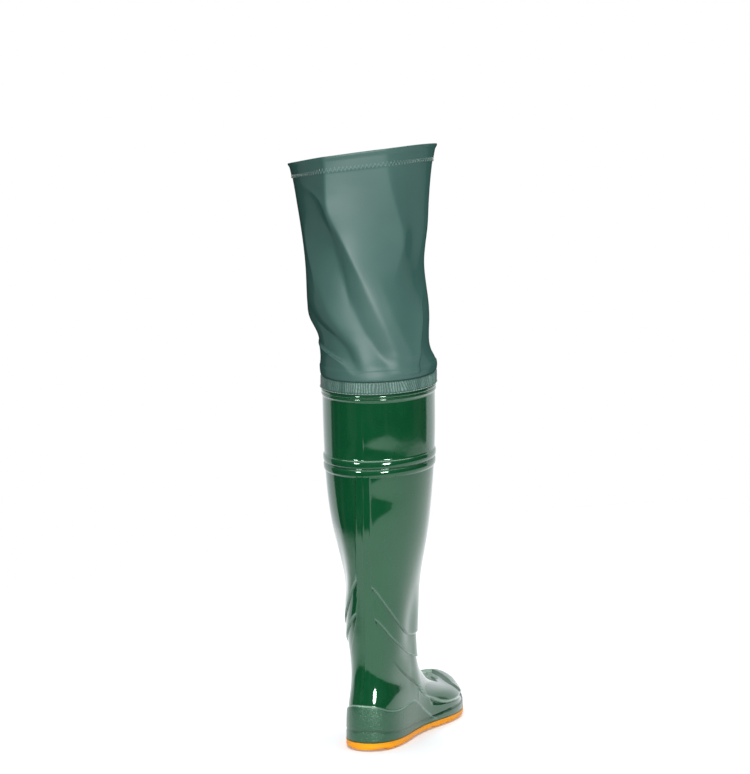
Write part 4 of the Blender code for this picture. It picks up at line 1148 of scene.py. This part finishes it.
# What the gloss mirrors: the backdrop ahead, a half-lit ceiling, and a dim, cluttered room elsewhere. Matt
# surfaces get a little even light, and the background itself is plain white.
backdrop_turn = np.radians(BACKDROP_AZIMUTH)
ahead = Vector((-np.sin(backdrop_turn), np.cos(backdrop_turn), 0.0))
world = bpy.data.worlds.new("pale_studio")
bpy.context.scene.world = world
world.use_nodes = True
sky = world.node_tree
direction = add_node(sky, "TexCoord", out="Generated")
facing = add_node(sky, "VectorMath", {0: direction, 1: ahead}, out="Value", operation="DOT_PRODUCT")
backdrop = add_node(sky, "MapRange", {"Value": facing, "From Min": 0.46, "From Max": 0.56},
                    interpolation_type="SMOOTHSTEP")
height = add_node(sky, "SeparateXYZ", {"Vector": direction}, out="Z")
ceiling = add_node(sky, "MapRange", {"Value": height, "From Min": 0.35, "From Max": 0.9, "To Max": 0.45},
                   interpolation_type="SMOOTHSTEP")
lit = add_node(sky, "Math", {0: backdrop, 1: ceiling}, operation="MAXIMUM")
clutter = add_node(sky, "TexNoise", {"Vector": direction, "Scale": 2.2, "Detail": 2.0})
around = add_node(sky, "MapRange", {"Value": clutter, "From Min": 0.4, "From Max": 0.65,
                                    "To Min": 0.015, "To Max": 0.13}, interpolation_type="SMOOTHSTEP")
seen = add_node(sky, "LightPath", out="Is Camera Ray")
matt = add_node(sky, "LightPath", out="Is Diffuse Ray")
for amount, glow in ((lit, (0.97, 1.0, 1.05, 1)), (matt, (0.07, 0.07, 0.072, 1)), (seen, linear("#FFFFFF"))):
    around = add_node(sky, "Mix", {"Factor": amount, "A": around, "B": glow}, data_type="RGBA")
sky.links.new(around, sky.nodes["Background"].inputs["Color"])


def aimed_from(thing, azimuth, away, height, middle, target):
    """Puts a lamp or the camera at an azimuth from the back, a distance away and a height, and aims it."""
    turn = np.radians(azimuth)
    thing.location = (np.sin(turn) * away, middle - np.cos(turn) * away, height)
    thing.rotation_euler = (Vector(target) - thing.location).to_track_quat("-Z", "Y").to_euler()


def soft_lamp(name, azimuth, away, height, size, power):
    """A round soft lamp aimed at the boot's middle."""
    light = bpy.data.lights.new(name, "AREA")
    light.shape = "ELLIPSE"
    light.size, light.size_y = size
    light.energy = power
    made = put_in_scene(name, light)
    aimed_from(made, azimuth, away, height, 0.0, LAMP_AIM)
    return made


def light_only(lamp, pieces):
    """Lets a lamp light the named pieces and nothing else."""
    receivers = bpy.data.collections.new(lamp.name + "_lights")
    for piece in pieces:
        receivers.objects.link(piece)
    lamp.light_linking.receiver_collection = receivers


boot_pieces = (boot_upper, outsole, insole)
cloth_pieces = (gathered_band, thigh_leg, hem_stitch, band_stitch)
light_only(soft_lamp("right_lamp", 44, 2.7, 0.95, (0.75, 0.70), 58), boot_pieces)
light_only(soft_lamp("left_lamp", -15, 2.9, 1.50, (0.6, 0.5), 65), boot_pieces)
light_only(soft_lamp("front_lamp", 24, 2.7, 0.85, (1.2, 1.0), 106), cloth_pieces)
soft_lamp("top_lamp", 200, 0.3, 2.7, (3.4, 3.4), 112)

camera = put_in_scene("camera", bpy.data.cameras.new("camera"))
camera.data.lens = FOCAL_LENGTH
camera.data.sensor_width = SENSOR_WIDTH
aimed_from(camera, CAMERA_AZIMUTH, CAMERA_AWAY, CAMERA_HEIGHT, LEG_AXIS, CAMERA_AIM)
bpy.context.scene.camera = camera
bpy.context.scene.view_settings.view_transform = "Standard"
